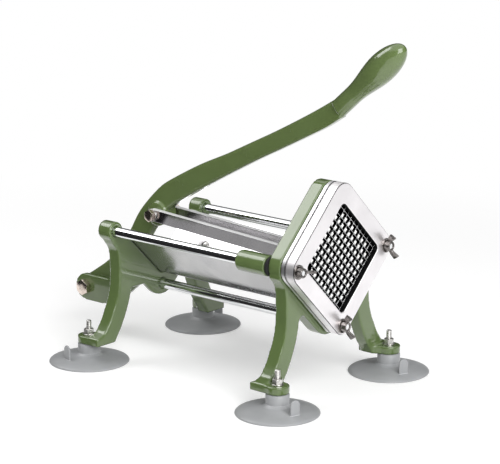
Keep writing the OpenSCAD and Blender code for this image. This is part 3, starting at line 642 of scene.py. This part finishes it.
# each bar with its node and the x of its left side
linkBars = {
    "width": 11,
    "thick": 5,
    "edge": 0.5,
    "boltHole": 6.1,
    "pinHole": 8.1,
    "bars": {"leftLink": ("left_link_bar", -13.1), "rightLink": ("right_link_bar", 8.1)},
}


def makeLinkBar(name, node, low, f):
    pin, bolt = layout["pin"], layout["bolt"]
    lean = math.degrees(math.atan2(bolt[1] - pin[1], bolt[0] - pin[0]))
    outer = arc(bolt, f["width"] / 2, lean - 90, lean + 90)
    outer += arc(pin, f["width"] / 2, lean + 90, lean + 270)
    lines = [outer, circle(bolt, f["boltHole"] / 2), circle(pin, f["pinHole"] / 2)]
    mesh = plateMesh(name, lines, low, low + f["thick"], f["edge"], toSide)
    place(name, mesh, node, sharp=10)


for barName, (barNode, barLow) in linkBars["bars"].items():
    makeLinkBar(barName, barNode, barLow, linkBars)
print("plates and bars made")


# Geometry Nodes trees for what repeats.
def newTree(name, sockets):
    tree = bpy.data.node_groups.new(name, "GeometryNodeTree")
    tree.interface.new_socket("Geometry", in_out="INPUT", socket_type="NodeSocketGeometry")
    for label, kind in sockets:
        tree.interface.new_socket(label, in_out="INPUT", socket_type="NodeSocket" + kind)
    tree.interface.new_socket("Geometry", in_out="OUTPUT", socket_type="NodeSocketGeometry")
    return tree, tree.nodes.new("NodeGroupInput"), tree.nodes.new("NodeGroupOutput")


def closeTree(tree, src, out, geometry):
    real = tree.nodes.new("GeometryNodeRealizeInstances")
    paint = tree.nodes.new("GeometryNodeSetMaterial")
    join(tree, geometry, real.inputs[0])
    join(tree, real.outputs[0], paint.inputs["Geometry"])
    join(tree, src.outputs["Finish"], paint.inputs["Material"])
    join(tree, paint.outputs[0], out.inputs[0])


def grow(live, tree, values):
    # sets the tree's inputs, then turns what it makes into a plain mesh
    made = live.modifiers.new("grow", "NODES")
    made.node_group = tree
    for item in tree.interface.items_tree:
        if item.item_type == "SOCKET" and item.in_out == "INPUT" and item.name in values:
            made[item.identifier] = values[item.name]
    return freeze(live)


def centredLine(tree, count, step, axis):
    # count points along an axis, the middle one at the origin
    line = tree.nodes.new("GeometryNodeMeshLine")
    halfCount = maths(tree, "MULTIPLY", maths(tree, "SUBTRACT", count, 1), -0.5)
    first = maths(tree, "MULTIPLY", halfCount, step)
    for source, target in ((first, "Start Location"), (step, "Offset")):
        pack = tree.nodes.new("ShaderNodeCombineXYZ")
        join(tree, source, pack.inputs[axis])
        join(tree, pack.outputs[0], line.inputs[target])
    join(tree, count, line.inputs["Count"])
    return line.outputs[0]


def makeBladeTree():
    # one row of ground blades, half lapped where the other row crosses it
    tree, src, out = newTree("bladeRow", [("Blades", "Int"), ("Pitch", "Float"),
        ("Lap Size", "Vector"), ("Lap Place", "Vector"), ("Finish", "Material")])
    count, step = src.outputs["Blades"], src.outputs["Pitch"]
    row = tree.nodes.new("GeometryNodeInstanceOnPoints")
    join(tree, centredLine(tree, count, step, "Z"), row.inputs["Points"])
    join(tree, src.outputs["Geometry"], row.inputs["Instance"])
    real = tree.nodes.new("GeometryNodeRealizeInstances")
    join(tree, row.outputs[0], real.inputs[0])
    cutter = tree.nodes.new("GeometryNodeMeshCube")
    join(tree, src.outputs["Lap Size"], cutter.inputs["Size"])
    shift = tree.nodes.new("GeometryNodeSetPosition")
    join(tree, cutter.outputs[0], shift.inputs["Geometry"])
    join(tree, src.outputs["Lap Place"], shift.inputs["Offset"])
    laps = tree.nodes.new("GeometryNodeInstanceOnPoints")
    join(tree, centredLine(tree, count, step, "X"), laps.inputs["Points"])
    join(tree, shift.outputs[0], laps.inputs["Instance"])
    realLaps = tree.nodes.new("GeometryNodeRealizeInstances")
    join(tree, laps.outputs[0], realLaps.inputs[0])
    cut = addNode(tree, "GeometryNodeMeshBoolean", operation="DIFFERENCE")
    join(tree, real.outputs[0], cut.inputs["Mesh 1"])
    join(tree, realLaps.outputs[0], cut.inputs["Mesh 2"])
    closeTree(tree, src, out, cut.outputs["Mesh"])
    return tree


def prism(name, section, length):
    # a section in the y-z plane, drawn out along x and closed at both ends
    b = bmesh.new()
    ends = [[b.verts.new((x / 1000, y / 1000, z / 1000)) for y, z in section]
        for x in (-length / 2, length / 2)]
    bridge(b, *ends)
    b.faces.new(ends[0][::-1])
    b.faces.new(ends[1])
    return finishMesh(name, b)


# each row with its node, its turn about y and whether its laps are cut from the back
blades = {
    "thick": 0.6,
    "deep": 6.2,
    "ground": 1.1,
    "land": 0.22,
    "seat": 4,
    "gap": 0.05,
    "lapPast": 1,
    "rows": {"risingBlades": ("blades_rising", -45, False),
        "fallingBlades": ("blades_falling", 45, True)},
}


def makeBladeRow(name, node, turn, fromBack, f, tree):
    half, land = f["thick"] / 2, f["land"] / 2
    section = [(0, -land), (0, land), (f["ground"], half), (f["deep"], half), (f["deep"], -half),
        (f["ground"], -half)]
    length = layout["opening"] + 2 * f["seat"]
    lap = f["deep"] / 2 + f["lapPast"]
    middle = f["deep"] / 2 + (lap / 2 if fromBack else -lap / 2)
    mesh = grow(addObject(name + "Rough", prism(name, section, length)), tree, {
        "Blades": layout["blades"],
        "Pitch": pitch / 1000,
        "Lap Size": ((f["thick"] + 2 * f["gap"]) / 1000, lap / 1000, length / 1000),
        "Lap Place": (0, middle / 1000, 0),
        "Finish": finishes["bladeSteel"],
    })
    spot = Vector((0, layout["plateY"] - f["deep"], layout["headZ"])) / 1000
    mesh.transform(Matrix.Translation(spot) @ Matrix.Rotation(math.radians(turn), 4, "Y"))
    print(name, len(mesh.polygons), "faces")
    place(name, mesh, node)


bladeTree = makeBladeTree()
for rowName, (rowNode, rowTurn, rowFromBack) in blades["rows"].items():
    makeBladeRow(rowName, rowNode, rowTurn, rowFromBack, blades, bladeTree)


def makePegTree():
    # a square field of pegs without its four corner pegs
    tree, src, out = newTree("pegField", [("Rows", "Int"), ("Pitch", "Float"),
        ("Corner", "Float"), ("Finish", "Material")])
    steps = maths(tree, "SUBTRACT", src.outputs["Rows"], 1)
    size = maths(tree, "MULTIPLY", steps, src.outputs["Pitch"])
    grid = tree.nodes.new("GeometryNodeMeshGrid")
    for target in ("Size X", "Size Y"):
        join(tree, size, grid.inputs[target])
    for target in ("Vertices X", "Vertices Y"):
        join(tree, src.outputs["Rows"], grid.inputs[target])
    where = axes(tree, tree.nodes.new("GeometryNodeInputPosition").outputs[0])
    near = [maths(tree, "ABSOLUTE", where[axis]) for axis in ("X", "Y")]
    corner = maths(tree, "GREATER_THAN", maths(tree, "MINIMUM", *near), src.outputs["Corner"])
    drop = addNode(tree, "GeometryNodeDeleteGeometry", domain="POINT")
    join(tree, grid.outputs[0], drop.inputs["Geometry"])
    join(tree, corner, drop.inputs["Selection"])
    field = tree.nodes.new("GeometryNodeInstanceOnPoints")
    join(tree, drop.outputs[0], field.inputs["Points"])
    join(tree, src.outputs["Geometry"], field.inputs["Instance"])
    closeTree(tree, src, out, field.outputs[0])
    return tree


pegs = {
    "side": 4.6,
    "tip": 3.1,
    "long": 13.6,
    "sunk": 1,
    "chamfer": 0.3,
    "slab": 11,
    "slabEdge": 0.8,
    "slabRadius": 5,
}


def pegMesh(f):
    # one peg, pointing down local z, with a chamfered tip
    b = bmesh.new()
    half, tip = f["side"] / 2, f["tip"] / 2
    levels = [(f["sunk"], half), (f["chamfer"] - f["long"], tip), (-f["long"], tip - f["chamfer"])]
    rings = [[b.verts.new((x * r / 1000, y * r / 1000, z / 1000))
        for x, y in ((1, 1), (-1, 1), (-1, -1), (1, -1))] for z, r in levels]
    for low, above in zip(rings, rings[1:]):
        bridge(b, low, above)
    b.faces.new(rings[0])
    b.faces.new(rings[-1])
    return finishMesh("peg", b)


def makePegBlock(f):
    rows = layout["blades"] - 1
    blockY = layout["frontY"] + layout["ringThick"]
    field = grow(addObject("pegRough", pegMesh(f)), makePegTree(), {
        "Rows": rows,
        "Pitch": pitch / 1000,
        "Corner": (rows / 2 - 1) * pitch / 1000,
        "Finish": finishes["blockPlastic"],
    })
    spot = Vector((0, blockY - f["slab"], layout["headZ"])) / 1000
    field.transform(Matrix.Translation(spot) @ Matrix.Rotation(math.radians(45), 4, "Y") @ toHead)
    outline = diamond(layout["opening"] - pitch + f["side"], (f["slabRadius"],) * 4, headCentre)
    slab = plateMesh("pegSlab", [outline], blockY - f["slab"], blockY, f["slabEdge"], toHead)
    place("pegBlock", cleaned(merged("pegBlock", [slab, field])), "push_block")


makePegBlock(pegs)
print("blades and pegs made")


# Turned and hexagonal hardware.
def revolve(name, profile, steps=48):
    # closed profile of (radius, height), turned about local z
    b = bmesh.new()
    rings = []
    for r, z in profile:
        if r == 0:
            rings.append([b.verts.new((0, 0, z / 1000))])
        else:
            rings.append([b.verts.new((r * math.cos(2 * math.pi * k / steps) / 1000,
                r * math.sin(2 * math.pi * k / steps) / 1000, z / 1000)) for k in range(steps)])
    for low, above in zip(rings, rings[1:] + rings[:1]):
        if len(low) == 1 and len(above) == 1:
            continue
        for k in range(steps):
            n = (k + 1) % steps
            corners = [low[k % len(low)], low[n % len(low)],
                above[n % len(above)], above[k % len(above)]]
            b.faces.new(list(dict.fromkeys(corners)))
    return finishMesh(name, b)


def washerProfile(inner, outer, thick, edge):
    return [(inner, edge), (inner + edge, 0), (outer - edge, 0), (outer, edge),
        (outer, thick - edge), (outer - edge, thick), (inner + edge, thick), (inner, thick - edge)]


def shankProfile(radius, long, point):
    return [(0, 0), (radius, 0), (radius, long - point), (radius - point, long), (0, long)]


# a cone of this slope in degrees trims the corners, from this share of the half width outwards
hexagons = {"trimFrom": 0.96, "trimSlope": 30, "middle": 0.35, "bevel": 0.35, "foot": 0.02,
    "perSide": 10}


def hexMesh(name, across, high, bore, h):
    # a bolt's head, or with a bore a nut, whose corners are trimmed at both ends
    b = bmesh.new()
    half = across / 2
    trim, slope = half * h["trimFrom"], math.tan(math.radians(h["trimSlope"]))
    inner = bore / 2 if bore else half * h["middle"]
    steps = 6 * h["perSide"]
    rings = [[] for _ in range(6 if bore else 5)]
    for k in range(steps):
        a = 2 * math.pi * k / steps
        fromCorner = math.radians(abs((math.degrees(a) + 30) % 60 - 30))
        reach = half / math.cos(math.pi / 6 - fromCorner)
        cut = max(0, reach - trim) * slope
        levels = [(trim, 0), (reach, cut)] if bore else [(reach, 0), (reach, h["foot"])]
        levels += [(reach, high - cut), (trim, high), (inner + h["bevel"], high),
            (inner, high - h["bevel"])]
        for ring, (r, z) in zip(rings, levels):
            ring.append(b.verts.new((r * math.cos(a) / 1000, r * math.sin(a) / 1000, z / 1000)))
    if bore:
        rings += [[b.verts.new((v.co.x, v.co.y, 0)) for v in rings[-1]], rings[0]]
    else:
        b.faces.new(rings[0])
        b.faces.new(rings[-1])
    for low, above in zip(rings, rings[1:]):
        bridge(b, low, above)
    return finishMesh(name, b)


upward = Matrix.Identity(4)
turned30 = Matrix.Rotation(math.radians(30), 4, "Z")
leftward = Matrix(((0, 0, -1, 0), (0, 1, 0, 0), (1, 0, 0, 0), (0, 0, 0, 1)))
rightward = Matrix(((0, 0, 1, 0), (0, 1, 0, 0), (-1, 0, 0, 0), (0, 0, 0, 1)))
forward = Matrix(((1, 0, 0, 0), (0, 0, -1, 0), (0, 1, 0, 0), (0, 0, 0, 1)))
backward = Matrix(((1, 0, 0, 0), (0, 0, 1, 0), (0, -1, 0, 0), (0, 0, 0, 1)))
faceY, padZ = layout["faceY"], layout["padZ"]


def moved(mesh, turn, spot):
    # a copy, turned and set down at a place in millimetres
    copy = mesh.copy()
    copy.transform(Matrix.Translation(Vector(spot) / 1000) @ turn)
    return copy


def setOut(name, node, mesh, placings):
    # placings are pairs of a turn and a place
    place(name, merged(name, [moved(mesh, turn, spot) for turn, spot in placings]), node)


# On the head, the rods and the foot pads.
flatRings = {
    "faceWashers": {"node": "wing_nut_washers", "inner": 2.55, "outer": 6.2, "thick": 1,
        "edge": 0.25, "placings": [(forward, (x, faceY, z)) for x, z in rodSpots]},
    "padWashers": {"node": "foot_washers", "inner": 2.55, "outer": 5.25, "thick": 1,
        "edge": 0.2, "placings": [(upward, (x, y, padZ)) for x, y in footSpots]},
    "bumpers": {"node": "bumper_rings", "inner": 4.55, "outer": 8.6,
        "thick": layout["ringThick"], "edge": 0.1,
        "placings": [(backward, (x, layout["frontY"], z)) for x, z in rodSpots[:2]]},
}
padNuts = {"across": 8, "high": 4.4, "bore": 5.1}


def makeRing(name, f):
    mesh = revolve(name, washerProfile(f["inner"], f["outer"], f["thick"], f["edge"]))
    setOut(name, f["node"], mesh, f["placings"])


def makePadNuts(f):
    mesh = hexMesh("padNut", f["across"], f["high"], f["bore"], hexagons)
    low = padZ + flatRings["padWashers"]["thick"]
    setOut("padNuts", "foot_nuts", mesh, [(turned30, (x, y, low)) for x, y in footSpots])


for ringName, ringFacts in flatRings.items():
    makeRing(ringName, ringFacts)
makePadNuts(padNuts)

# The two bolts through the lever, each with its head at the left: headX is where the head bears,
# washerX where each washer bears, and sunk is how far the shank starts inside the head.
crossBolts = {
    "link": {"spot": layout["bolt"], "across": 9.72, "head": 3.72, "nut": 4.8, "bore": 6.1,
        "shankRadius": 3, "long": 35.56, "point": 0.6, "headX": -14.2, "sunk": 1.4,
        "washer": (3.05, 5.85, 1, 0.25), "washerX": (-13.2, 13.2),
        "pieces": {"washer": "linkWashers", "bolt": "linkBolt", "nut": "linkNut"},
        "nodes": {"washer": "link_washers", "bolt": "link_bolt", "nut": "link_nut"}},
    "pivot": {"spot": layout["pivot"], "across": 12.96, "head": 5.44, "nut": 6.4, "bore": 8.1,
        "shankRadius": 4, "long": 32.98, "point": 0.8, "headX": -11, "sunk": 2.7,
        "washer": (4.05, 8, 1.6, 0.35), "washerX": (11,),
        "pieces": {"washer": "pivotWasher", "bolt": "pivotBolt", "nut": "pivotNut"},
        "nodes": {"washer": "pivot_washers", "bolt": "pivot_bolt", "nut": "pivot_nut"}},
}


def makeCrossBolt(f):
    y, z = f["spot"]
    pieces, cadNodes = f["pieces"], f["nodes"]
    washer = revolve("washer", washerProfile(*f["washer"]))
    setOut(pieces["washer"], cadNodes["washer"], washer,
        [(leftward if x < 0 else rightward, (x, y, z)) for x in f["washerX"]])
    head = hexMesh("head", f["across"], f["head"], 0, hexagons)
    shank = revolve("shank", shankProfile(f["shankRadius"], f["long"], f["point"]))
    parts = [moved(head, leftward, (f["headX"], y, z)),
        moved(shank, rightward, (f["headX"] - f["sunk"], y, z))]
    place(pieces["bolt"], merged(pieces["bolt"], parts), cadNodes["bolt"])
    nut = hexMesh("nut", f["across"], f["nut"], f["bore"], hexagons)
    nutX = f["washerX"][-1] + f["washer"][2]
    setOut(pieces["nut"], cadNodes["nut"], nut, [(rightward, (nutX, y, z))])


for boltFacts in crossBolts.values():
    makeCrossBolt(boltFacts)


# Cast wing nuts: a hub and two broad wings that stand up and outwards. Each has its node and
# its turn about y.
wingNuts = {
    "voxel": 0.25,
    "rounds": 3,
    "hub": [(2.6, 0), (4.7, 0), (4.1, 4.7), (3.8, 5), (2.6, 5)],
    "wing": [(3, 0.5), (7.4, 2.4), (11.3, 5.2), (11.8, 6.1), (9.0, 10.6), (8.1, 10.8), (4.7, 6),
        (3, 4.7)],
    "thick": 1.8,
    "edge": 0.4,
    "nuts": {"leftWingNut": ("wing_nut_left", 0), "rightWingNut": ("wing_nut_right", 75),
        "lowerWingNut": ("wing_nut_lower", 75)},
}


def makeWingNut(name, node, spot, turn, f):
    wings = [f["wing"], [(-u, v) for u, v in f["wing"]]]
    half = f["thick"] / 2
    flat = plateMesh("wings", wings, -half, half, f["edge"], toHead)
    solid = merged(name, [revolve("hub", f["hub"]), flat])
    where = Vector((spot[0], faceY - flatRings["faceWashers"]["thick"], spot[1])) / 1000
    turned = Matrix.Rotation(math.radians(turn), 4, "Y") @ forward
    solid.transform(Matrix.Translation(where) @ turned)
    place(name, softened(name, solid, f), node, sharp=180)


for (nutName, (nutNode, nutTurn)), nutSpot in zip(wingNuts["nuts"].items(), rodSpots):
    makeWingNut(nutName, nutNode, nutSpot, nutTurn, wingNuts)


def makeThreadTree():
    # a helical ridge round each point, standing up along z
    tree, src, out = newTree("studThread", [("Turns", "Float"), ("Radius", "Float"),
        ("Height", "Float"), ("Ridge", "Float"), ("Finish", "Material")])
    helix = addNode(tree, "GeometryNodeCurveSpiral", {"Resolution": 18})
    join(tree, src.outputs["Turns"], helix.inputs["Rotations"])
    for target in ("Start Radius", "End Radius"):
        join(tree, src.outputs["Radius"], helix.inputs[target])
    join(tree, src.outputs["Height"], helix.inputs["Height"])
    section = addNode(tree, "GeometryNodeCurvePrimitiveCircle", {"Resolution": 4})
    join(tree, src.outputs["Ridge"], section.inputs["Radius"])
    sweep = addNode(tree, "GeometryNodeCurveToMesh", {"Fill Caps": True})
    join(tree, helix.outputs[0], sweep.inputs["Curve"])
    join(tree, section.outputs[0], sweep.inputs["Profile Curve"])
    each = tree.nodes.new("GeometryNodeInstanceOnPoints")
    join(tree, src.outputs["Geometry"], each.inputs["Points"])
    join(tree, sweep.outputs[0], each.inputs["Instance"])
    closeTree(tree, src, out, each.outputs[0])
    return tree


studs = {
    "turns": 15,
    "radius": 2.28,
    "threadFrom": 0.8,
    "threadHigh": 11.4,
    "ridge": 0.12,
    "core": 2.3,
    "point": 0.5,
    "top": 13,
    "padThick": 7,
    "depth": 10.44,
}


def makeStuds(f):
    spots = bpy.data.meshes.new("studSpots")
    start = padZ + f["threadFrom"]
    spots.from_pydata([(x / 1000, y / 1000, start / 1000) for x, y in footSpots], [], [])
    ridges = grow(addObject("studRough", spots), makeThreadTree(), {
        "Turns": float(f["turns"]),
        "Radius": f["radius"] / 1000,
        "Height": f["threadHigh"] / 1000,
        "Ridge": f["ridge"] / 1000,
        "Finish": finishes["smallHardware"],
    })
    low = padZ - f["padThick"] - f["depth"]
    core = revolve("core", shankProfile(f["core"], f["top"] + padZ - low, f["point"]))
    cores = [moved(core, upward, (x, y, low)) for x, y in footSpots]
    place("footStuds", merged("footStuds", cores + [ridges]), "cup_studs")


makeStuds(studs)
print("hardware made")

# Suction cups: a smooth bell with a thin lip, a neck and a pull tab. The points of lip, dome and
# hollow are shares of the radius and the height. Each cup has its node, its foot, and its tab's
# direction in degrees and distance as a share of the radius.
cups = {
    "radius": 35.5,
    "high": 17.4,
    "lip": [(0.985, 0), (1, 0.02)],
    "dome": [(1, 0.045), (0.985, 0.085), (0.94, 0.14), (0.8, 0.228), (0.62, 0.295), (0.45, 0.35),
        (0.35, 0.385)],
    "hollow": [(0, 0.2), (0.3, 0.19), (0.6, 0.135), (0.8, 0.065), (0.89, 0)],
    "neck": 10,
    "neckFoot": 0.5,
    "neckRound": 1,
    "hole": 2.6,
    "holeDeep": 10.4,
    "steps": 5,
    "around": 96,
    "tabWide": 9,
    "tabThick": 1.9,
    "tabRise": 9.57,
    "tabLow": 3.48,
    "tabEdge": 0.6,
    "cups": {"frontLeftCup": ("cup_front_left", 0, -104, 0.66),
        "frontRightCup": ("cup_front_right", 1, -111, 0.66),
        "rearLeftCup": ("cup_rear_left", 2, 165, 0.6),
        "rearRightCup": ("cup_rear_right", 3, 5, 0.66)},
}


def smoothLine(points, steps):
    # a Catmull-Rom curve through the points
    made = []
    last = len(points) - 1
    for i in range(last):
        a, b, c, d = (Vector(points[j]) for j in (max(i - 1, 0), i, i + 1, min(i + 2, last)))
        for k in range(steps):
            t = k / steps
            square = (2 * a - 5 * b + 4 * c - d) * t * t
            cube = (3 * b - a - 3 * c + d) * t ** 3
            made.append(tuple(0.5 * (2 * b + (c - a) * t + square + cube)))
    return made + [tuple(points[-1])]


def makeBell(f):
    r, h = f["radius"], f["high"]
    lip, dome, under = ([(a * r, b * h) for a, b in f[part]] for part in ("lip", "dome", "hollow"))
    neck = [(f["neck"], f["neckFoot"] * h), (f["neck"], h - f["neckRound"]),
        (f["neck"] - f["neckRound"], h)]
    bore = [(f["hole"], h), (f["hole"], h - f["holeDeep"]), (0, h - f["holeDeep"])]
    profile = smoothLine(under, f["steps"]) + lip + smoothLine(dome, f["steps"]) + neck + bore
    return revolve("bell", profile, f["around"])


def makeTab(turn, reach, f):
    wide, away = f["tabWide"] / 2, f["radius"] * reach
    outline = [(-wide, 0), (wide, 0)] + arc((0, f["tabRise"]), wide, 0, 180, steps=18)
    stand = Matrix.Rotation(math.radians(turn), 4, "Z")
    lift = Matrix.Translation((0, 0, f["tabLow"] / 1000))
    return plateMesh("tab", [outline], away, away + f["tabThick"], f["tabEdge"],
        stand @ lift @ toSide)


def makeCup(name, node, foot, turn, reach, f):
    mesh = merged(name, [makeBell(f), makeTab(turn, reach, f)])
    x, y = footSpots[foot]
    mesh.transform(Matrix.Translation((x / 1000, y / 1000, 0)))
    place(name, mesh, node, sharp=50)


for cupName, (cupNode, cupFoot, cupTurn, cupReach) in cups["cups"].items():
    makeCup(cupName, cupNode, cupFoot, cupTurn, cupReach, cups)
print("cups made")

# Studio: white paper, a bright box overhead at the back, and a large soft box in front.
studio = {
    "floorSize": 9,
    "floorColour": (0.80, 0.80, 0.80),
    "floorLift": 0.28,
    "whiteFrom": 0.3,
    "whiteTo": 0.8,
    "ambient": 0.42,
    "band": [(0.4, 1.0), (0.42, 0.03), (0.78, 0.03), (0.84, 1.0)],
}


def seenDirectly(tree):
    path = tree.nodes.new("ShaderNodeLightPath")
    seen = maths(tree, "MAXIMUM", path.outputs["Is Camera Ray"], path.outputs["Is Glossy Ray"])
    return maths(tree, "MAXIMUM", seen, path.outputs["Is Transmission Ray"])


def makeFloor(s):
    mesh = bpy.data.meshes.new("studioFloor")
    h = s["floorSize"] / 2
    mesh.from_pydata([(-h, -h, 0), (h, -h, 0), (h, h, 0), (-h, h, 0)], [], [(0, 1, 2, 3)])
    floor = addObject("studioFloor", mesh)
    material, tree, shader = newMaterial("floorPaper", Roughness=0.9, Specular_IOR_Level=0.1)
    shader.inputs["Base Color"].default_value = (*s["floorColour"], 1)
    seen = seenDirectly(tree)
    lift = addNode(tree, "ShaderNodeEmission", {"Color": (1, 1, 1, 1)})
    join(tree, maths(tree, "MULTIPLY", seen, s["floorLift"]), lift.inputs["Strength"])
    lit = tree.nodes.new("ShaderNodeAddShader")
    join(tree, shader.outputs[0], lit.inputs[0])
    join(tree, lift.outputs[0], lit.inputs[1])
    white = addNode(tree, "ShaderNodeEmission", {"Color": (1, 1, 1, 1)})
    join(tree, seen, white.inputs["Strength"])
    away = addNode(tree, "ShaderNodeVectorMath", operation="LENGTH")
    join(tree, objectPlace(tree), away.inputs[0])
    far = addNode(tree, "ShaderNodeMapRange", {1: s["whiteFrom"], 2: s["whiteTo"]},
        interpolation_type="SMOOTHSTEP")
    join(tree, away.outputs["Value"], far.inputs[0])
    both = tree.nodes.new("ShaderNodeMixShader")
    join(tree, maths(tree, "MULTIPLY", far.outputs[0], seen), both.inputs[0])
    join(tree, lit.outputs[0], both.inputs[1])
    join(tree, white.outputs[0], both.inputs[2])
    join(tree, both.outputs[0], tree.nodes["Material Output"].inputs["Surface"])
    mesh.materials.append(material)


def makeWorld(s):
    # white above and below and a dark band between for metal to show, and plain light elsewhere
    world = bpy.data.worlds.new("studioWorld")
    scene.world = world
    world.use_nodes = True
    tree = world.node_tree
    back = tree.nodes["Background"]
    at = tree.nodes.new("ShaderNodeTexCoord")
    up = spread(tree, axes(tree, at.outputs["Generated"])["Z"], -1, 1)
    path = tree.nodes.new("ShaderNodeLightPath")
    band = ramp(tree, up, [(level, (grey,) * 3) for level, grey in s["band"]])
    plain = mixColour(tree, path.outputs["Is Glossy Ray"], (s["ambient"],) * 3, band)
    shown = mixColour(tree, path.outputs["Is Camera Ray"], plain, (1.0, 1.0, 1.0))
    join(tree, shown, back.inputs["Color"])


# Each lamp has its direction from the part's middle, distance and size in metres, and radiance.
partMiddle = Vector((0, 0, 0.12))
lamps = {
    "overheadBackBox": {"way": (-0.243, 0.637, 0.73), "away": 1.2, "size": 0.62, "level": 3.9},
    "frontBox": {"way": (-0.36, -0.78, 0.5), "away": 1.7, "size": 1.3, "level": 5.4},
}


def hangLamp(name, f):
    way = Vector(f["way"]).normalized()
    data = bpy.data.lights.new(name, "AREA")
    data.shape = "SQUARE"
    data.size = f["size"]
    data.energy = f["level"] * math.pi * f["size"] ** 2
    lamp = addObject(name, data)
    lamp.location = partMiddle + way * f["away"]
    lamp.rotation_mode = "QUATERNION"
    lamp.rotation_quaternion = (-way).to_track_quat("-Z", "Y")
    lamp.visible_camera = False


darkCard = {
    "rise": 0.0005,
    "corners": [(-0.13, -0.1), (-0.13, 4.4), (-4.4, 4.4), (-4.4, -0.1)],
    "colour": (0.02, 0.02, 0.02),
}


def makeDarkCard(f):
    # black card on the floor at the back left, seen only as a reflection
    mesh = bpy.data.meshes.new("darkCard")
    mesh.from_pydata([(*p, f["rise"]) for p in f["corners"]], [], [(0, 1, 2, 3)])
    card = addObject("darkCard", mesh)
    material, _, shader = newMaterial("cardBlack", Roughness=0.9, Specular_IOR_Level=0)
    shader.inputs["Base Color"].default_value = (*f["colour"], 1)
    mesh.materials.append(material)
    for kind in ("camera", "diffuse", "shadow", "transmission", "volume_scatter"):
        setattr(card, "visible_" + kind, False)


makeFloor(studio)
makeWorld(studio)
makeDarkCard(darkCard)
for lampName, lampFacts in lamps.items():
    hangLamp(lampName, lampFacts)
print("studio lit")
